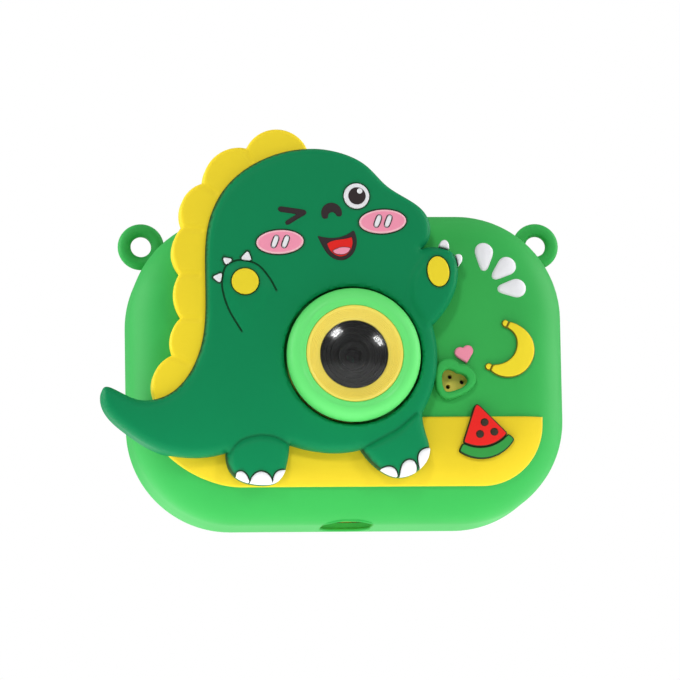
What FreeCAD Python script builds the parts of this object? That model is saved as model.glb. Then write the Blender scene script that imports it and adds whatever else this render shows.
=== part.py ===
import FreeCAD, Part
import Sketcher
import math
import os
import re

# A child's digital camera in a soft silicone cover that carries a moulded dinosaur.
# Millimetres.  +X is to the right seen from the front, the lens looks along -Y, +Z is up.
# The origin is the middle of the cover's flat base.

doc = FreeCAD.newDocument("kids_camera")
Vector = FreeCAD.Vector

# ---------------------------------------------------------------- driving sizes
SIZES = {
    # silicone cover
    "case_width": 100, "case_height": 71.5, "case_depth": 30, "front_reach": 16,
    "corner_radius": 24, "front_round": 12, "back_round": 3.5,
    "cover_wall": 2, "lip_wall": 1.5, "lip_margin": 7, "cover_fit": 0.15,
    "loop_radius": 3.85, "loop_tube": 1.55, "loop_bore": 2.4, "loop_out": 3.66, "loop_angle": 43,
    "loop_depth": 7,
    "port_side": 0.7, "port_front": -7.8, "port_behind": 3.5, "port_round": 5,
    "window_margin": 1.3,
    # moulded artwork
    "dino_rise": 5.5, "overhang_depth": 2.5, "crest_rise": 3.2, "art_rise": 1, "melon_rise": 2.2,
    "rim_rise": 1.5, "mark_rise": 0.3, "detail_rise": 0.2, "patch_margin": 6.1,
    "patch_top": 23.4, "patch_low": 7.6, "patch_corner": 14.2, "claw_depth": 3.5,
    # lens
    "lens_z": 37, "ring_lip": 1.05, "neck_wall": 1.7, "ring_reach": 9, "ring_round": 1.8,
    "ring_nest": 1, "ring_gap": 0.65, "turret_radius": 12.5, "seat_reach": 5, "trim_reach": 8.6,
    "trim_radius": 11.05, "hood_radius": 7.75, "hood_reach": 6.2, "hood_floor": 1, "glass_thick": 0.8,
    "cone_depth": 2.7, "cone_wide": 7.2, "barrel_radius": 3.1, "element_radius": 2, "element_thick": 1,
    "slip": 0.05,
    # camera housing
    "shell_wall": 1.8, "split_back": -1, "panel_rise": 1, "boss_radius": 3.4, "screw_inset_x": 14,
    "screw_inset_z": 14.5, "screw_radius": 0.9, "screw_head": 1.9, "head_thick": 1.4, "head_sink": 2,
    "screw_reach": 9, "root_depth": 0.5, "panel_gap": 0.3,
    # boards and screen
    "board_gap": 2, "board_thick": 1.2, "lcd_gap": 0.35, "lcd_thick": 2.3, "lcd_frame_depth": 2.7,
    "lcd_inset": 17, "top_zone": 13, "lcd_clear": 2.75, "key_to_screen": 5.8, "glass_margin": 1.5,
    "glass_ledge": 2.5, "glass_round": 3, "flex_thick": 0.3, "film_width": 12, "film_inset": 8,
    "film_drop": 14, "frame_wall": 2, "frame_skin": 0.6,
    # keys on the back and buttons on the top
    "key_inset": 21.5, "key_lift": 18.5, "key_pitch": 8, "key_radius": 3.2, "key_flange": 3.7,
    "flange_thick": 0.6, "key_gap": 0.7, "key_rise": 0.9, "key_slip": 0.15, "switch_height": 3.8,
    "switch_side": 4.5, "pair_drop": 21.5, "pair_spread": 9.2,
    "shutter_x": -20, "power_x": -2, "button_back": 5, "shutter_radius": 4, "power_radius": 3,
    "button_flange": 1, "button_rise": 0.7, "top_switch_height": 6, "top_switch_side": 5,
    # sensor, speaker, battery, sockets and card
    "holder_side": 8.5, "holder_depth": 4.05, "sensor_well": 1.2, "sensor_side": 5,
    "sensor_board_side": 10, "sensor_board_thick": 0.8,
    "speaker_radius": 10, "speaker_thick": 4.5, "speaker_x": 24, "speaker_below": 4.4,
    "grille_radius": 0.5, "battery_thick": 5, "battery_low": 18.5, "battery_drop": 21.5,
    "battery_inset": 11, "battery_right": -8, "lead_radius": 0.35,
    "usb_width": 7.8, "usb_thick": 3.2, "usb_length": 5.8, "usb_wall": 0.4, "tongue_thick": 0.7,
    "socket_lift": 0.6,
    "card_width": 11, "card_thick": 0.7, "card_length": 15, "card_lift": 0.25, "card_gap": 0.1,
    "card_socket_width": 14, "card_socket_thick": 2, "card_socket_length": 13.8,
}

sheet = doc.addObject("Spreadsheet::Sheet", "Sizes")
for row, (alias, size) in enumerate(SIZES.items(), start=1):
    sheet.set(f"A{row}", alias.replace("_", " "))
    sheet.set(f"B{row}", str(size))
    sheet.setAlias(f"B{row}", alias)
doc.recompute()

# ---------------------------------------------------------------- places that follow from the sizes
PLACES = {
    "front": "-front_reach",
    "back": "case_depth - front_reach",
    "middle": "case_height / 2",
    "shell_inset": "cover_wall + cover_fit",
    "shell_front": "front + shell_inset",
    "shell_back": "back - lip_wall - cover_fit",
    "shell_low": "shell_inset",
    "shell_high": "case_height - shell_inset",
    "cavity_inset": "shell_inset + shell_wall",
    "cavity_front": "shell_front + shell_wall",
    "cavity_back": "shell_back - shell_wall",
    "cavity_low": "cavity_inset",
    "cavity_high": "case_height - cavity_inset",
    "panel_out": "shell_back + panel_rise",
    "dino_top": "front - dino_rise",
    "dino_back": "front + overhang_depth",
    "crest_top": "front - crest_rise",
    "mark_top": "dino_top - mark_rise",
    "ring_neck": "turret_radius + neck_wall",
    "ring_radius": "ring_neck + ring_lip",
    "ring_front": "front - ring_reach",
    "ring_ledge": "dino_top + ring_nest",
    "seat_front": "front - seat_reach",
    "trim_front": "front - trim_reach",
    "hood_front": "front - hood_reach",
    "hood_back": "shell_front - 3",
    "cone_back": "hood_front + cone_depth",
    "barrel_front": "cone_back - hood_floor",
    "barrel_back": "holder_back - sensor_well",
    "front_lens": "barrel_front + 0.4",
    "rear_lens": "barrel_back - 1.4 * element_thick",
    "board_back": "cavity_back - lcd_gap - lcd_thick - lcd_frame_depth",
    "board_front": "board_back - board_thick",
    "lcd_front": "cavity_back - lcd_gap - lcd_thick",
    "lcd_back": "cavity_back - lcd_gap",
    "key_x": "-case_width / 2 + key_inset",
    "key_z": "cavity_low + key_lift",
    "pair_z": "case_height - pair_drop",
    "flange_front": "board_back + switch_height + key_gap",
    "card_socket_low": "cavity_low + 0.3",
    "card_socket_high": "cavity_low + card_socket_length",
    "card_low": "shell_low + card_lift",
    "card_front": "board_back + (card_socket_thick - card_thick) / 2 - 0.1",
    "port_half": "card_width / 2 + port_side",
    "port_back": "card_front + card_thick + port_behind",
    "lcd_left": "key_x + key_pitch + key_flange + key_to_screen",
    "lcd_right": "case_width / 2 - lcd_inset",
    "lcd_low": "card_socket_high + lcd_clear",
    "lcd_high": "cavity_high - top_zone",
    "film_low": "lens_z - film_drop",
    "lcd_film_low": "lcd_low - 2",
    "screw_x": "case_width / 2 - screw_inset_x",
    "screw_high": "case_height - screw_inset_z",
    "head_seat": "panel_out - head_sink",
    "screw_tip": "head_seat - screw_reach",
    "button_flange_top": "cavity_high - 0.2",
    "button_flange_low": "button_flange_top - 0.75",
    "top_switch_top": "button_flange_low - key_gap",
    "holder_back": "cavity_front + holder_depth",
    "sensor_back": "holder_back + sensor_board_thick",
    "speaker_back": "cavity_front + speaker_thick",
    "speaker_z": "lens_z - speaker_below",
    "usb_low": "shell_low + socket_lift",
    "battery_left": "-case_width / 2 + battery_inset",
    "battery_high": "case_height - battery_drop",
    "battery_front": "board_front - battery_thick",
}


def formula(text):
    """A size formula as a FreeCAD expression: places are written out and sizes point at their sheet."""
    def written_out(match):
        name = match.group(0)
        if name in PLACES:
            return "(" + formula(PLACES[name]) + ")"
        return "Sizes." + name if name in SIZES else name
    return re.sub(r"[a-z][a-z_0-9]*", written_out, str(text))


def number(text):
    """The value of a size formula, for what an expression can't hold."""
    return float(sheet.evalExpression(formula(text)))


def bind(thing, **formulas):
    """Tie properties of an object to size formulas."""
    for name, text in formulas.items():
        thing.setExpression(name, formula(text))


UPRIGHT = FreeCAD.Rotation()
TO_FRONT = FreeCAD.Rotation(Vector(1, 0, 0), 90)
TO_BACK = FreeCAD.Rotation(Vector(1, 0, 0), -90)


def place(thing, x, y, z, turn=UPRIGHT):
    """Put an object at a point given by three size formulas."""
    thing.Placement = FreeCAD.Placement(Vector(0, 0, 0), turn)
    for axis, text in zip("xyz", (x, y, z)):
        thing.setExpression(f"Placement.Base.{axis}", formula(text))


def block(name, x, y, z):
    """A box between two formulas on each axis."""
    box = doc.addObject("Part::Box", name)
    bind(box, Length=f"({x[1]}) - ({x[0]})", Width=f"({y[1]}) - ({y[0]})", Height=f"({z[1]}) - ({z[0]})")
    place(box, x[0], y[0], z[0])
    return box


def disc(name, x, z, radius, y):
    """A round piece whose axis runs front to back."""
    cylinder = doc.addObject("Part::Cylinder", name)
    bind(cylinder, Radius=radius, Height=f"({y[1]}) - ({y[0]})")
    place(cylinder, x, y[0], z, TO_BACK)
    return cylinder


def post(name, x, y, radius, z):
    """A round piece whose axis runs up."""
    cylinder = doc.addObject("Part::Cylinder", name)
    bind(cylinder, Radius=radius, Height=f"({z[1]}) - ({z[0]})")
    place(cylinder, x, y, z[0])
    return cylinder


def fuse(name, *pieces):
    """Pieces joined into one."""
    joined = doc.addObject("Part::MultiFuse", name)
    joined.Shapes = list(pieces)
    return joined


def cut(name, base, *tools):
    """A piece with others taken away from it."""
    result = doc.addObject("Part::Cut", name)
    result.Base = base
    result.Tool = tools[0] if len(tools) == 1 else fuse(name + "_tools", *tools)
    return result


def common(name, first, second):
    """What two pieces share."""
    shared = doc.addObject("Part::MultiCommon", name)
    shared.Shapes = [first, second]
    return shared


def ring(name, x, z, outer, inner, y):
    """A tube whose axis runs front to back."""
    return cut(name, disc(name + "_outer", x, z, outer, y),
               disc(name + "_bore", x, z, inner, (f"{y[0]} - 1", f"{y[1]} + 1")))


# ---------------------------------------------------------------- PartDesign bodies
def plane(body, role):
    """One of a body's own origin planes."""
    return next(item for item in body.Origin.OriginFeatures if item.Role == role)


def fillet(body, name, base, edges, radius):
    """Round the listed edges of a feature."""
    doc.recompute()
    rounding = body.newObject("PartDesign::Fillet", name)
    names = [f"Edge{index}" for index, edge in enumerate(base.Shape.Edges, start=1) if edges(edge)]
    rounding.Base = (base, names)
    bind(rounding, Radius=radius)
    return rounding


def flat_at(depth):
    """A test for edges that lie wholly at one depth of a body."""
    def test(edge):
        box = edge.BoundBox
        return abs(box.YMin - depth) < 1e-4 and abs(box.YMax - depth) < 1e-4
    return test


def runs_deep(edge):
    """True for a straight edge that runs front to back."""
    return isinstance(edge.Curve, Part.Line) and abs(edge.tangentAt(edge.FirstParameter).y) > 0.99


def soft_block(name, width, height, y, middle, corner, front_edge=None, back_edge=None):
    """A rounded slab: a rectangle padded towards the front, with round corners and round rims."""
    body = doc.addObject("PartDesign::Body", name)
    sketch = body.newObject("Sketcher::SketchObject", name + "_sketch")
    sketch.AttachmentSupport = [(plane(body, "XZ_Plane"), "")]
    sketch.MapMode = "FlatFace"
    points = [Vector(-10, -5, 0), Vector(10, -5, 0), Vector(10, 5, 0), Vector(-10, 5, 0)]
    for index in range(4):
        sketch.addGeometry(Part.LineSegment(points[index], points[(index + 1) % 4]))
    for index in range(4):
        sketch.addConstraint(Sketcher.Constraint("Coincident", index, 2, (index + 1) % 4, 1))
    for side, direction in enumerate(("Horizontal", "Vertical", "Horizontal", "Vertical")):
        sketch.addConstraint(Sketcher.Constraint(direction, side))
    sketch.addConstraint(Sketcher.Constraint("Symmetric", 0, 1, 1, 2, -1, 1))
    for title, kind, line in (("width", "DistanceX", 0), ("height", "DistanceY", 1)):
        constraint = sketch.addConstraint(Sketcher.Constraint(kind, line, 1, line, 2, 20.0))
        sketch.renameConstraint(constraint, title)
    sketch.setExpression("Constraints.width", formula(width))
    sketch.setExpression("Constraints.height", formula(height))
    pad = body.newObject("PartDesign::Pad", name + "_pad")
    pad.Profile = sketch
    bind(pad, Length=f"({y[1]}) - ({y[0]})")
    tip = fillet(body, name + "_corners", pad, runs_deep, corner)
    if front_edge:
        depth = number(y[0]) - number(y[1])
        tip = fillet(body, name + "_front", tip, flat_at(depth), front_edge)
    if back_edge:
        tip = fillet(body, name + "_rear", tip, flat_at(0), back_edge)
    body.Tip = tip
    place(body, 0, y[1], middle)
    doc.recompute()
    return body


def inset_block(name, inset, y, front_edge=None, back_edge=None):
    """The cover's outline moved inwards by inset, or outwards where that is negative."""
    return soft_block(name, f"case_width - 2 * ({inset})", f"case_height - 2 * ({inset})", y, "middle",
                      f"corner_radius - ({inset})", front_edge, back_edge)


# ---------------------------------------------------------------- drawn outlines
# Artwork is drawn in millimetres from the middle of the lens, across and up.


def flat(point):
    return Vector(point[0], point[1], 0)


def line(*points):
    """Straight lines through the points."""
    return [Part.LineSegment(flat(a), flat(b)) for a, b in zip(points, points[1:])]


def arc(start, through, end):
    return [Part.Arc(flat(start), flat(through), flat(end))]


def curve(*points):
    """One smooth line through the points."""
    spline = Part.BSplineCurve()
    spline.interpolate([flat(point) for point in points])
    return [spline]


def circle(x, z, radius):
    return [Part.Circle(Vector(x, z, 0), Vector(0, 0, 1), radius)]


def turned(x, z, across, up, degrees):
    """A point given in a frame that is turned about (x, z)."""
    angle = math.radians(degrees)
    return (x + across * math.cos(angle) - up * math.sin(angle),
            z + across * math.sin(angle) + up * math.cos(angle))


def oval(x, z, half_long, half_short, degrees=0):
    ends = [flat(turned(x, z, half_long, 0, degrees)), flat(turned(x, z, 0, half_short, degrees))]
    return [Part.Ellipse(ends[0], ends[1], Vector(x, z, 0))]


def bar(x, z, length, width, degrees):
    """A round-ended stroke."""
    run = (length - width) / 2
    half = width / 2

    def at(across, up):
        return turned(x, z, across, up, degrees)
    return (line(at(-run, -half), at(run, -half)) + arc(at(run, -half), at(run + half, 0), at(run, half))
            + line(at(run, half), at(-run, half)) + arc(at(-run, half), at(-run - half, 0), at(-run, -half)))


def stroke(start, end, width):
    """A round-ended stroke from one point to another."""
    length = math.hypot(end[0] - start[0], end[1] - start[1])
    degrees = math.degrees(math.atan2(end[1] - start[1], end[0] - start[0]))
    return bar((start[0] + end[0]) / 2, (start[1] + end[1]) / 2, length + width, width, degrees)


def egg(x, z, length, wide, narrow, degrees):
    """An egg with its narrow end at (x, z), pointing away along degrees: two rounds and their tangents."""
    lean = math.asin((wide - narrow) / (length - wide - narrow))

    def at(across, up):
        return turned(x, z, across, up, degrees)

    def touch(middle, radius, side):
        return at(middle - radius * math.sin(lean), side * radius * math.cos(lean))
    near, far = (narrow, narrow), (length - wide, wide)
    return (line(touch(*near, -1), touch(*far, -1)) + arc(touch(*far, -1), at(length, 0), touch(*far, 1))
            + line(touch(*far, 1), touch(*near, 1)) + arc(touch(*near, 1), at(0, 0), touch(*near, -1)))


def heart(x, z, side, degrees):
    """A heart that stands on its tip at (x, z): two half rounds on a square of the given side."""
    half = side / math.sqrt(2)

    def at(across, up):
        return turned(x, z, across, up, degrees)
    return (line(at(0, 0), at(half, half)) + arc(at(half, half), at(half, 2 * half), at(0, 2 * half))
            + arc(at(0, 2 * half), at(-half, 2 * half), at(-half, half)) + line(at(-half, half), at(0, 0)))


def plate(name, outline, front, back, x="0", z="lens_z"):
    """The drawn outline as a plate between two depths."""
    sketch = doc.addObject("Sketcher::SketchObject", name + "_outline")
    sketch.addGeometry(outline)
    place(sketch, x, back, z, TO_FRONT)
    extrusion = doc.addObject("Part::Extrusion", name)
    extrusion.Base = sketch
    extrusion.DirMode = "Normal"
    extrusion.Solid = True
    bind(extrusion, LengthFwd=f"({back}) - ({front})")
    return extrusion


def on_face(name, outline, step=0):
    """Artwork that stands on the dinosaur's face, or on a mark that is already there."""
    base = "dino_top" if step == 0 else f"mark_top - {step - 1} * detail_rise"
    rise = "mark_rise" if step == 0 else "detail_rise"
    return plate(name, outline, f"{base} - {rise}", base)


SUBPARTS = []


def subpart(thing, label):
    """Name a finished piece; its label is its node and file name."""
    thing.Label = label
    SUBPARTS.append(thing)
    return thing


# ---------------------------------------------------------------- shared solids
RIMS = {"front_edge": "front_round", "back_edge": "back_round"}
case_block = inset_block("case_block", "0", ("front", "back"), **RIMS)


def grown(name, rise):
    """The cover's outer form, thicker by rise, which gives artwork its curved top."""
    return inset_block(name, f"-{rise}", (f"front - {rise}", "back"), f"front_round + {rise}", "back_round")


art_skin = grown("art_skin", "art_rise")
melon_skin = grown("melon_skin", "melon_rise")
rim_skin = grown("rim_skin", "rim_rise")
camera_block = inset_block("camera_block", "shell_inset", ("shell_front", "shell_back"),
                           "front_round - shell_inset", "back_round - shell_inset")
cavity_block = inset_block("cavity_block", "cavity_inset", ("cavity_front", "cavity_back"),
                           "front_round - cavity_inset")


def lens_disc(name, radius, y):
    return disc(name, 0, "lens_z", radius, y)


# ---------------------------------------------------------------- silicone cover
HEART_RIM = curve((24.6, -1.7), (23.2, -0.6), (21.6, -0.4), (19.9, -1.4), (19.1, -3.4), (19.2, -5.7), (19.8, -8.0),
                  (20.9, -9.2), (22.2, -9.5), (24.3, -8.9), (26.4, -7.8), (27.9, -6.4), (28.4, -4.7), (27.8, -3.1),
                  (26.5, -2.0), (24.6, -1.7))
HEART_HOLE = curve((24.3, -3.4), (23.2, -2.7), (21.8, -2.6), (20.7, -3.6), (20.5, -5.3), (20.8, -7.0), (21.4, -8.0),
                   (22.8, -8.0), (24.9, -7.3), (26.3, -6.3), (26.8, -5.3), (26.4, -4.2), (25.5, -3.6), (24.3, -3.4))


def make_loop(side, sign):
    """A round eye for a lanyard, moulded on an upper corner of the cover."""
    reach = "(corner_radius + loop_out)"
    x = f"{sign} * (case_width / 2 - corner_radius + {reach} * cos(loop_angle))"
    z = f"case_height - corner_radius + {reach} * sin(loop_angle)"
    torus = doc.addObject("Part::Torus", f"loop_{side}")
    bind(torus, Radius1="loop_radius", Radius2="loop_tube")
    place(torus, x, "loop_depth", z, TO_BACK)
    bore = disc(f"loop_bore_{side}", x, z, "loop_bore",
                ("loop_depth - 2 * loop_tube", "loop_depth + 2 * loop_tube"))
    return cut(f"eye_{side}", torus, bore, case_block)


def make_case_cover():
    heart_post = plate("heart_post", HEART_RIM, "front - rim_rise", "front + 1")
    rim = common("heart_rim", rim_skin, heart_post)
    cavity = inset_block("cover_cavity", "cover_wall", ("front + cover_wall", "back - lip_wall"),
                         "front_round - cover_wall", "back_round - cover_wall")
    opening = inset_block("back_opening", "lip_margin", ("back - lip_wall - 1", "back + 1"))
    lens_hole = lens_disc("lens_hole", "ring_neck + ring_gap", ("front - 1", "front + cover_wall + 1"))
    heart_hole = plate("heart_hole", HEART_HOLE, "front - rim_rise - 1", "front + cover_wall + 1")
    half = "port_half - port_round"
    port = fuse("port_window", *[post(f"port_end_{side}_{end}", f"{sign} * ({half})", y, "port_round",
                                      (-1, "cover_wall + 1"))
                                 for side, sign in (("left", -1), ("right", 1))
                                 for end, y in (("front", "port_front + port_round"),
                                                ("back", "port_back - port_round"))],
                block("port_across", ("-port_half", "port_half"),
                      ("port_front + port_round", "port_back - port_round"), (-1, "cover_wall + 1")),
                block("port_along", (f"-({half})", half), ("port_front", "port_back"),
                      (-1, "cover_wall + 1")))
    windows = [post(f"{name}_window", f"{name}_x", "button_back", f"{name}_radius + window_margin",
                    ("case_height - cover_wall - 1", "case_height + 1")) for name in ("shutter", "power")]
    solid = fuse("cover_solid", case_block, rim)
    return cut("case_cover", solid, cavity, opening, lens_hole, heart_hole, port, *windows)


subpart(fuse("lanyard_loops", make_loop("left", -1), make_loop("right", 1)), "lanyard_loops")
subpart(make_case_cover(), "case_cover")

# ---------------------------------------------------------------- dinosaur artwork
HEAD = curve((-9.7, 47.9), (-2.8, 47.2), (4.3, 43.7), (8.3, 39.5), (13.4, 36.2), (17.5, 32.6),
             (18.4, 28.5), (16.3, 24.7))
RIGHT_ARM = curve((16.3, 24.7), (20.0, 25.1), (23.6, 23.4), (24.5, 19.6), (23.0, 13.2), (18.4, 7.0))
RIGHT_SIDE = curve((18.4, 7.0), (19.4, 1.0), (18.3, -7.2), (15.7, -13.0))
RIGHT_LEG = curve((15.7, -13.0), (16.4, -18.0), (17.1, -22.2), (15.4, -25.5), (9.6, -27.7), (5.5, -25.8),
                  (1.5, -21.3))
BELLY = curve((1.5, -21.3), (-3.5, -22.0), (-8.8, -21.6), (-14.7, -20.1))
LEFT_LEG = curve((-14.7, -20.1), (-15.4, -24.5), (-17.4, -28.5), (-22.1, -29.2), (-26.2, -28.1),
                 (-29.2, -21.9))
TAIL = curve((-29.2, -21.9), (-36.0, -22.9), (-44.6, -21.2), (-52.0, -16.6), (-57.3, -8.2), (-56.8, -6.8),
             (-54.6, -7.2), (-48.9, -9.8), (-42.5, -8.8), (-37.2, -3.7), (-34.4, 3.0), (-33.4, 12.0),
             (-33.4, 22.0), (-32.6, 30.2), (-28.6, 38.8), (-21.0, 44.9), (-9.7, 47.9))
DINO = HEAD + RIGHT_ARM + RIGHT_SIDE + RIGHT_LEG + BELLY + LEFT_LEG + TAIL
CREST = (arc((-9.6, 48.2), (-16.6, 52.6), (-23.5, 48.2)) + arc((-23.5, 48.2), (-30.7, 46.3), (-33.6, 40.1))
         + arc((-33.6, 40.1), (-38.0, 36.7), (-38.4, 30.1)) + arc((-38.4, 30.1), (-40.8, 24.8), (-39.2, 19.2))
         + arc((-39.2, 19.2), (-40.6, 14.1), (-39.0, 9.1)) + arc((-39.0, 9.1), (-41.5, 4.4), (-41.0, 0.5))
         + arc((-41.0, 0.5), (-45.2, -3.6), (-45.1, -9.6))
         + line((-45.1, -9.6), (-38.0, -13.0), (-26.0, 12.0), (-24.0, 36.0), (-9.6, 44.0), (-9.6, 48.2)))

dino_prism = plate("dino_prism", DINO, "dino_top", "dino_back")


ring_hole = lens_disc("ring_hole", "ring_radius + ring_gap", ("dino_top - 1", "front + 1"))


def make_ground_patch():
    """The yellow ground: a rounded slab inside the cover's outline, below one straight top.

    Its left end is drawn, because it sweeps up more slowly than the right one.
    """
    outline = soft_block("patch_outline", "case_width - 2 * patch_margin", "case_height",
                         ("front - art_rise - 1", "front + front_round"), "patch_low + case_height / 2",
                         "patch_corner")
    below = block("patch_below", ("-case_width", "case_width"),
                  ("front - art_rise - 2", "front + front_round + 1"), (0, "patch_top"))
    sweep = curve((-45.5, 18.8), (-41.0, 14.0), (-37.1, 11.1), (-33.2, 9.2), (-29.3, 8.0), (-25.4, 7.6))
    corner = plate("patch_sweep", sweep + line((-25.4, 7.6), (-25.4, 5), (-45.5, 5), (-45.5, 18.8)),
                   "front - art_rise - 2", "front + front_round + 1", z="0")
    prism = cut("patch_prism", common("patch_slab", outline, below), corner)
    return cut("ground_patch", common("patch_layer", art_skin, prism), case_block, ring_hole)


ground_patch = subpart(make_ground_patch(), "ground_patch")
dino_body = subpart(cut("dino_body", dino_prism, case_block, ground_patch, ring_hole), "dino_body")
crest_prism = plate("crest_prism", CREST, "crest_top", "dino_back")
subpart(cut("dino_crest", crest_prism, dino_prism, case_block), "dino_crest")


def blob(*points):
    """One smooth line through the points, closed by a straight one."""
    return curve(*points) + line(points[-1], points[0])


TOES = (((-25.8, -30.2), (-26.9, -27.9), (-27.1, -26.8), (-26.0, -26.4), (-24.9, -27.2), (-24.3, -28.4),
         (-24.2, -30.2)),
        ((-23.6, -30.2), (-23.6, -27.8), (-22.6, -26.8), (-21.4, -26.5), (-20.1, -27.0), (-19.2, -28.1),
         (-19.1, -30.2)),
        ((-18.7, -30.2), (-18.7, -27.8), (-18.1, -26.7), (-16.9, -26.2), (-15.0, -26.4), (-14.5, -30.2)),
        ((9.5, -30.0), (9.6, -28.2), (9.3, -26.6), (8.4, -25.7), (7.0, -25.6), (5.7, -26.2), (4.0, -28.5)),
        ((10.4, -30.0), (10.2, -28.0), (10.3, -25.9), (11.1, -24.5), (12.4, -24.0), (13.6, -24.6),
         (13.9, -26.2), (13.8, -28.0), (13.6, -30.0)),
        ((15.2, -27.0), (14.3, -24.6), (14.3, -23.0), (15.0, -21.9), (16.2, -21.4), (19.0, -21.6),
         (19.0, -26.0)))


def make_toes():
    """White toes that fill the lower edge of both feet."""
    prisms = plate("toe_prisms", sum((blob(*toe) for toe in TOES), []), "mark_top", "dino_top")
    foot = plate("foot_outline", DINO, "mark_top - 1", "dino_top + 1")
    return common("foot_claws", prisms, foot)


def make_claws():
    """Five small claws at the ends of the two raised hands."""
    left = (((-25.4, 22.1), (-23.8, 23.9), (-23.0, 21.8)), ((-28.8, 20.8), (-29.4, 22.4), (-27.3, 22.0)),
            ((-30.2, 16.7), (-31.8, 18.0), (-29.7, 18.9)))
    right = (((20.6, 23.4), (20.2, 24.8), (20.3, 25.7), (20.9, 26.5), (21.7, 26.6), (22.3, 26.0), (22.5, 24.8),
              (22.3, 23.0)),
             ((22.9, 21.6), (22.6, 22.6), (23.6, 23.1), (25.3, 23.1), (25.5, 22.3), (24.9, 20.9), (23.9, 20.2)))
    outline = sum((line(*claw, claw[0]) for claw in left), [])
    outer = sum((blob(*claw) for claw in right), [])
    beside = cut("right_claws", plate("right_claw_prism", outer, "dino_top", "dino_top + claw_depth"),
                 dino_prism, case_block)
    return fuse("hand_claws", on_face("left_claws", outline), beside)


subpart(make_toes(), "foot_claws")
subpart(make_claws(), "hand_claws")
subpart(on_face("palm_pads", oval(-24.5, 16.9, 3.1, 3.0) + oval(19.7, 19.1, 3.5, 2.5, 96)), "palm_pads")

CHEEKS = ((7.2, 30.7), (-16.4, 26.0))
subpart(on_face("cheek_patches", sum((oval(x, z, 5.45, 2.75, 3) for x, z in CHEEKS), [])), "cheek_patches")
BARS = sum((bar(x + shift, z + 0.05, 2.9, 0.85, 69) for x, z in CHEEKS for shift in (-1.15, 1.25)), [])
subpart(on_face("cheek_marks", BARS, 1), "cheek_marks")

subpart(on_face("eye_white", circle(1.3, 36.6, 2.95)), "eye_white")
subpart(on_face("eye_pupil", circle(1.4, 36.6, 2.05), 1), "eye_pupil")
subpart(on_face("eye_glint", circle(2.0, 37.7, 0.75), 2), "eye_glint")
subpart(fuse("wink_eye", on_face("wink_upper", stroke((-16.2, 33.6), (-10.8, 32.8), 1.35)),
             on_face("wink_lower", stroke((-10.8, 32.8), (-14.7, 30.4), 1.15))), "wink_eye")
subpart(on_face("nose", arc((-6.5, 31.3), (-4.6, 35.1), (-2.2, 31.8)) + line((-2.2, 31.8), (-3.4, 31.9))
                + arc((-3.4, 31.9), (-4.5, 32.9), (-5.2, 31.4)) + line((-5.2, 31.4), (-6.5, 31.3))), "nose")
subpart(on_face("mouth_outline", curve((-7.9, 27.5), (-5.6, 27.0), (-2.9, 27.1), (-0.6, 28.0), (0.5, 28.8))
                + curve((0.5, 28.8), (1.2, 26.7), (1.0, 24.7), (-0.2, 22.7), (-2.5, 21.7), (-4.8, 22.5),
                        (-6.4, 24.4), (-7.9, 27.5))), "mouth_outline")
subpart(on_face("mouth_inside", curve((-5.6, 25.6), (-4.1, 26.3), (-2.0, 26.6), (0.0, 27.1))
                + curve((0.0, 27.1), (0.1, 25.1), (-0.7, 23.5), (-2.5, 22.6), (-4.5, 23.5), (-5.6, 25.6)), 1),
        "mouth_inside")
subpart(on_face("tongue", curve((-4.6, 23.9), (-2.5, 24.8), (-0.2, 24.6))
                + curve((-0.2, 24.6), (-0.9, 23.4), (-2.5, 22.9), (-3.9, 23.2), (-4.6, 23.9)), 2), "tongue")


# ---------------------------------------------------------------- artwork on the cover itself
def on_cover(name, outline, skin=art_skin, rise="art_rise"):
    """Artwork that follows the cover's curved front, outside the dinosaur and the ground patch."""
    prism = plate(name + "_prism", outline, f"front - {rise} - 1", "front + front_round")
    return cut(name, common(name + "_layer", skin, prism), case_block, dino_prism, ground_patch)


PETALS = ((30.95, 20.0, 88), (32.85, 18.35, 40.5), (33.9, 15.9, 3))
subpart(on_cover("petals", sum((egg(x, z, 6.85, 2.22, 1.0, degrees) for x, z, degrees in PETALS), [])),
        "petals")
BANANA = (curve((36.2, 8.4), (37.9, 7.9), (39.9, 6.7), (41.5, 5.0), (42.3, 2.9), (42.3, 0.9), (41.4, -1.4),
                (39.7, -3.4), (37.7, -4.4), (35.4, -4.6), (33.2, -4.0), (31.9, -3.0))
          + curve((31.9, -3.0), (31.0, -2.8), (30.6, -2.1), (31.0, -1.4), (32.3, -1.6))
          + curve((32.3, -1.6), (34.4, -1.4), (36.1, -0.6), (37.5, 0.9), (38.1, 2.6), (38.0, 4.5), (37.2, 5.9),
                  (35.7, 6.9))
          + curve((35.7, 6.9), (34.8, 7.5), (34.8, 8.3), (35.5, 8.8), (36.2, 8.4)))
subpart(on_cover("banana", BANANA), "banana")
subpart(on_cover("pink_heart", heart(26.5, -1.3, 2.6, 13)), "pink_heart")

FLESH_CUT = ((25.0, -19.7), (30.0, -20.7), (35.5, -17.6))
FLESH = (line((35.5, -17.6), (28.9, -10.9)) + arc((28.9, -10.9), (28.3, -10.7), (27.9, -11.1))
         + line((27.9, -11.1), (25.0, -19.7)) + arc(*FLESH_CUT))
RIND = (arc(*FLESH_CUT) + line((35.5, -17.6), (37.1, -18.9))
        + arc((37.1, -18.9), (30.6, -23.4), (24.0, -21.7)) + line((24.0, -21.7), (25.0, -19.7)))
SEEDS = ((30.1, -15.1), (32.3, -17.3), (29.0, -17.8))
SEED_RADIUS = 0.83


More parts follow.
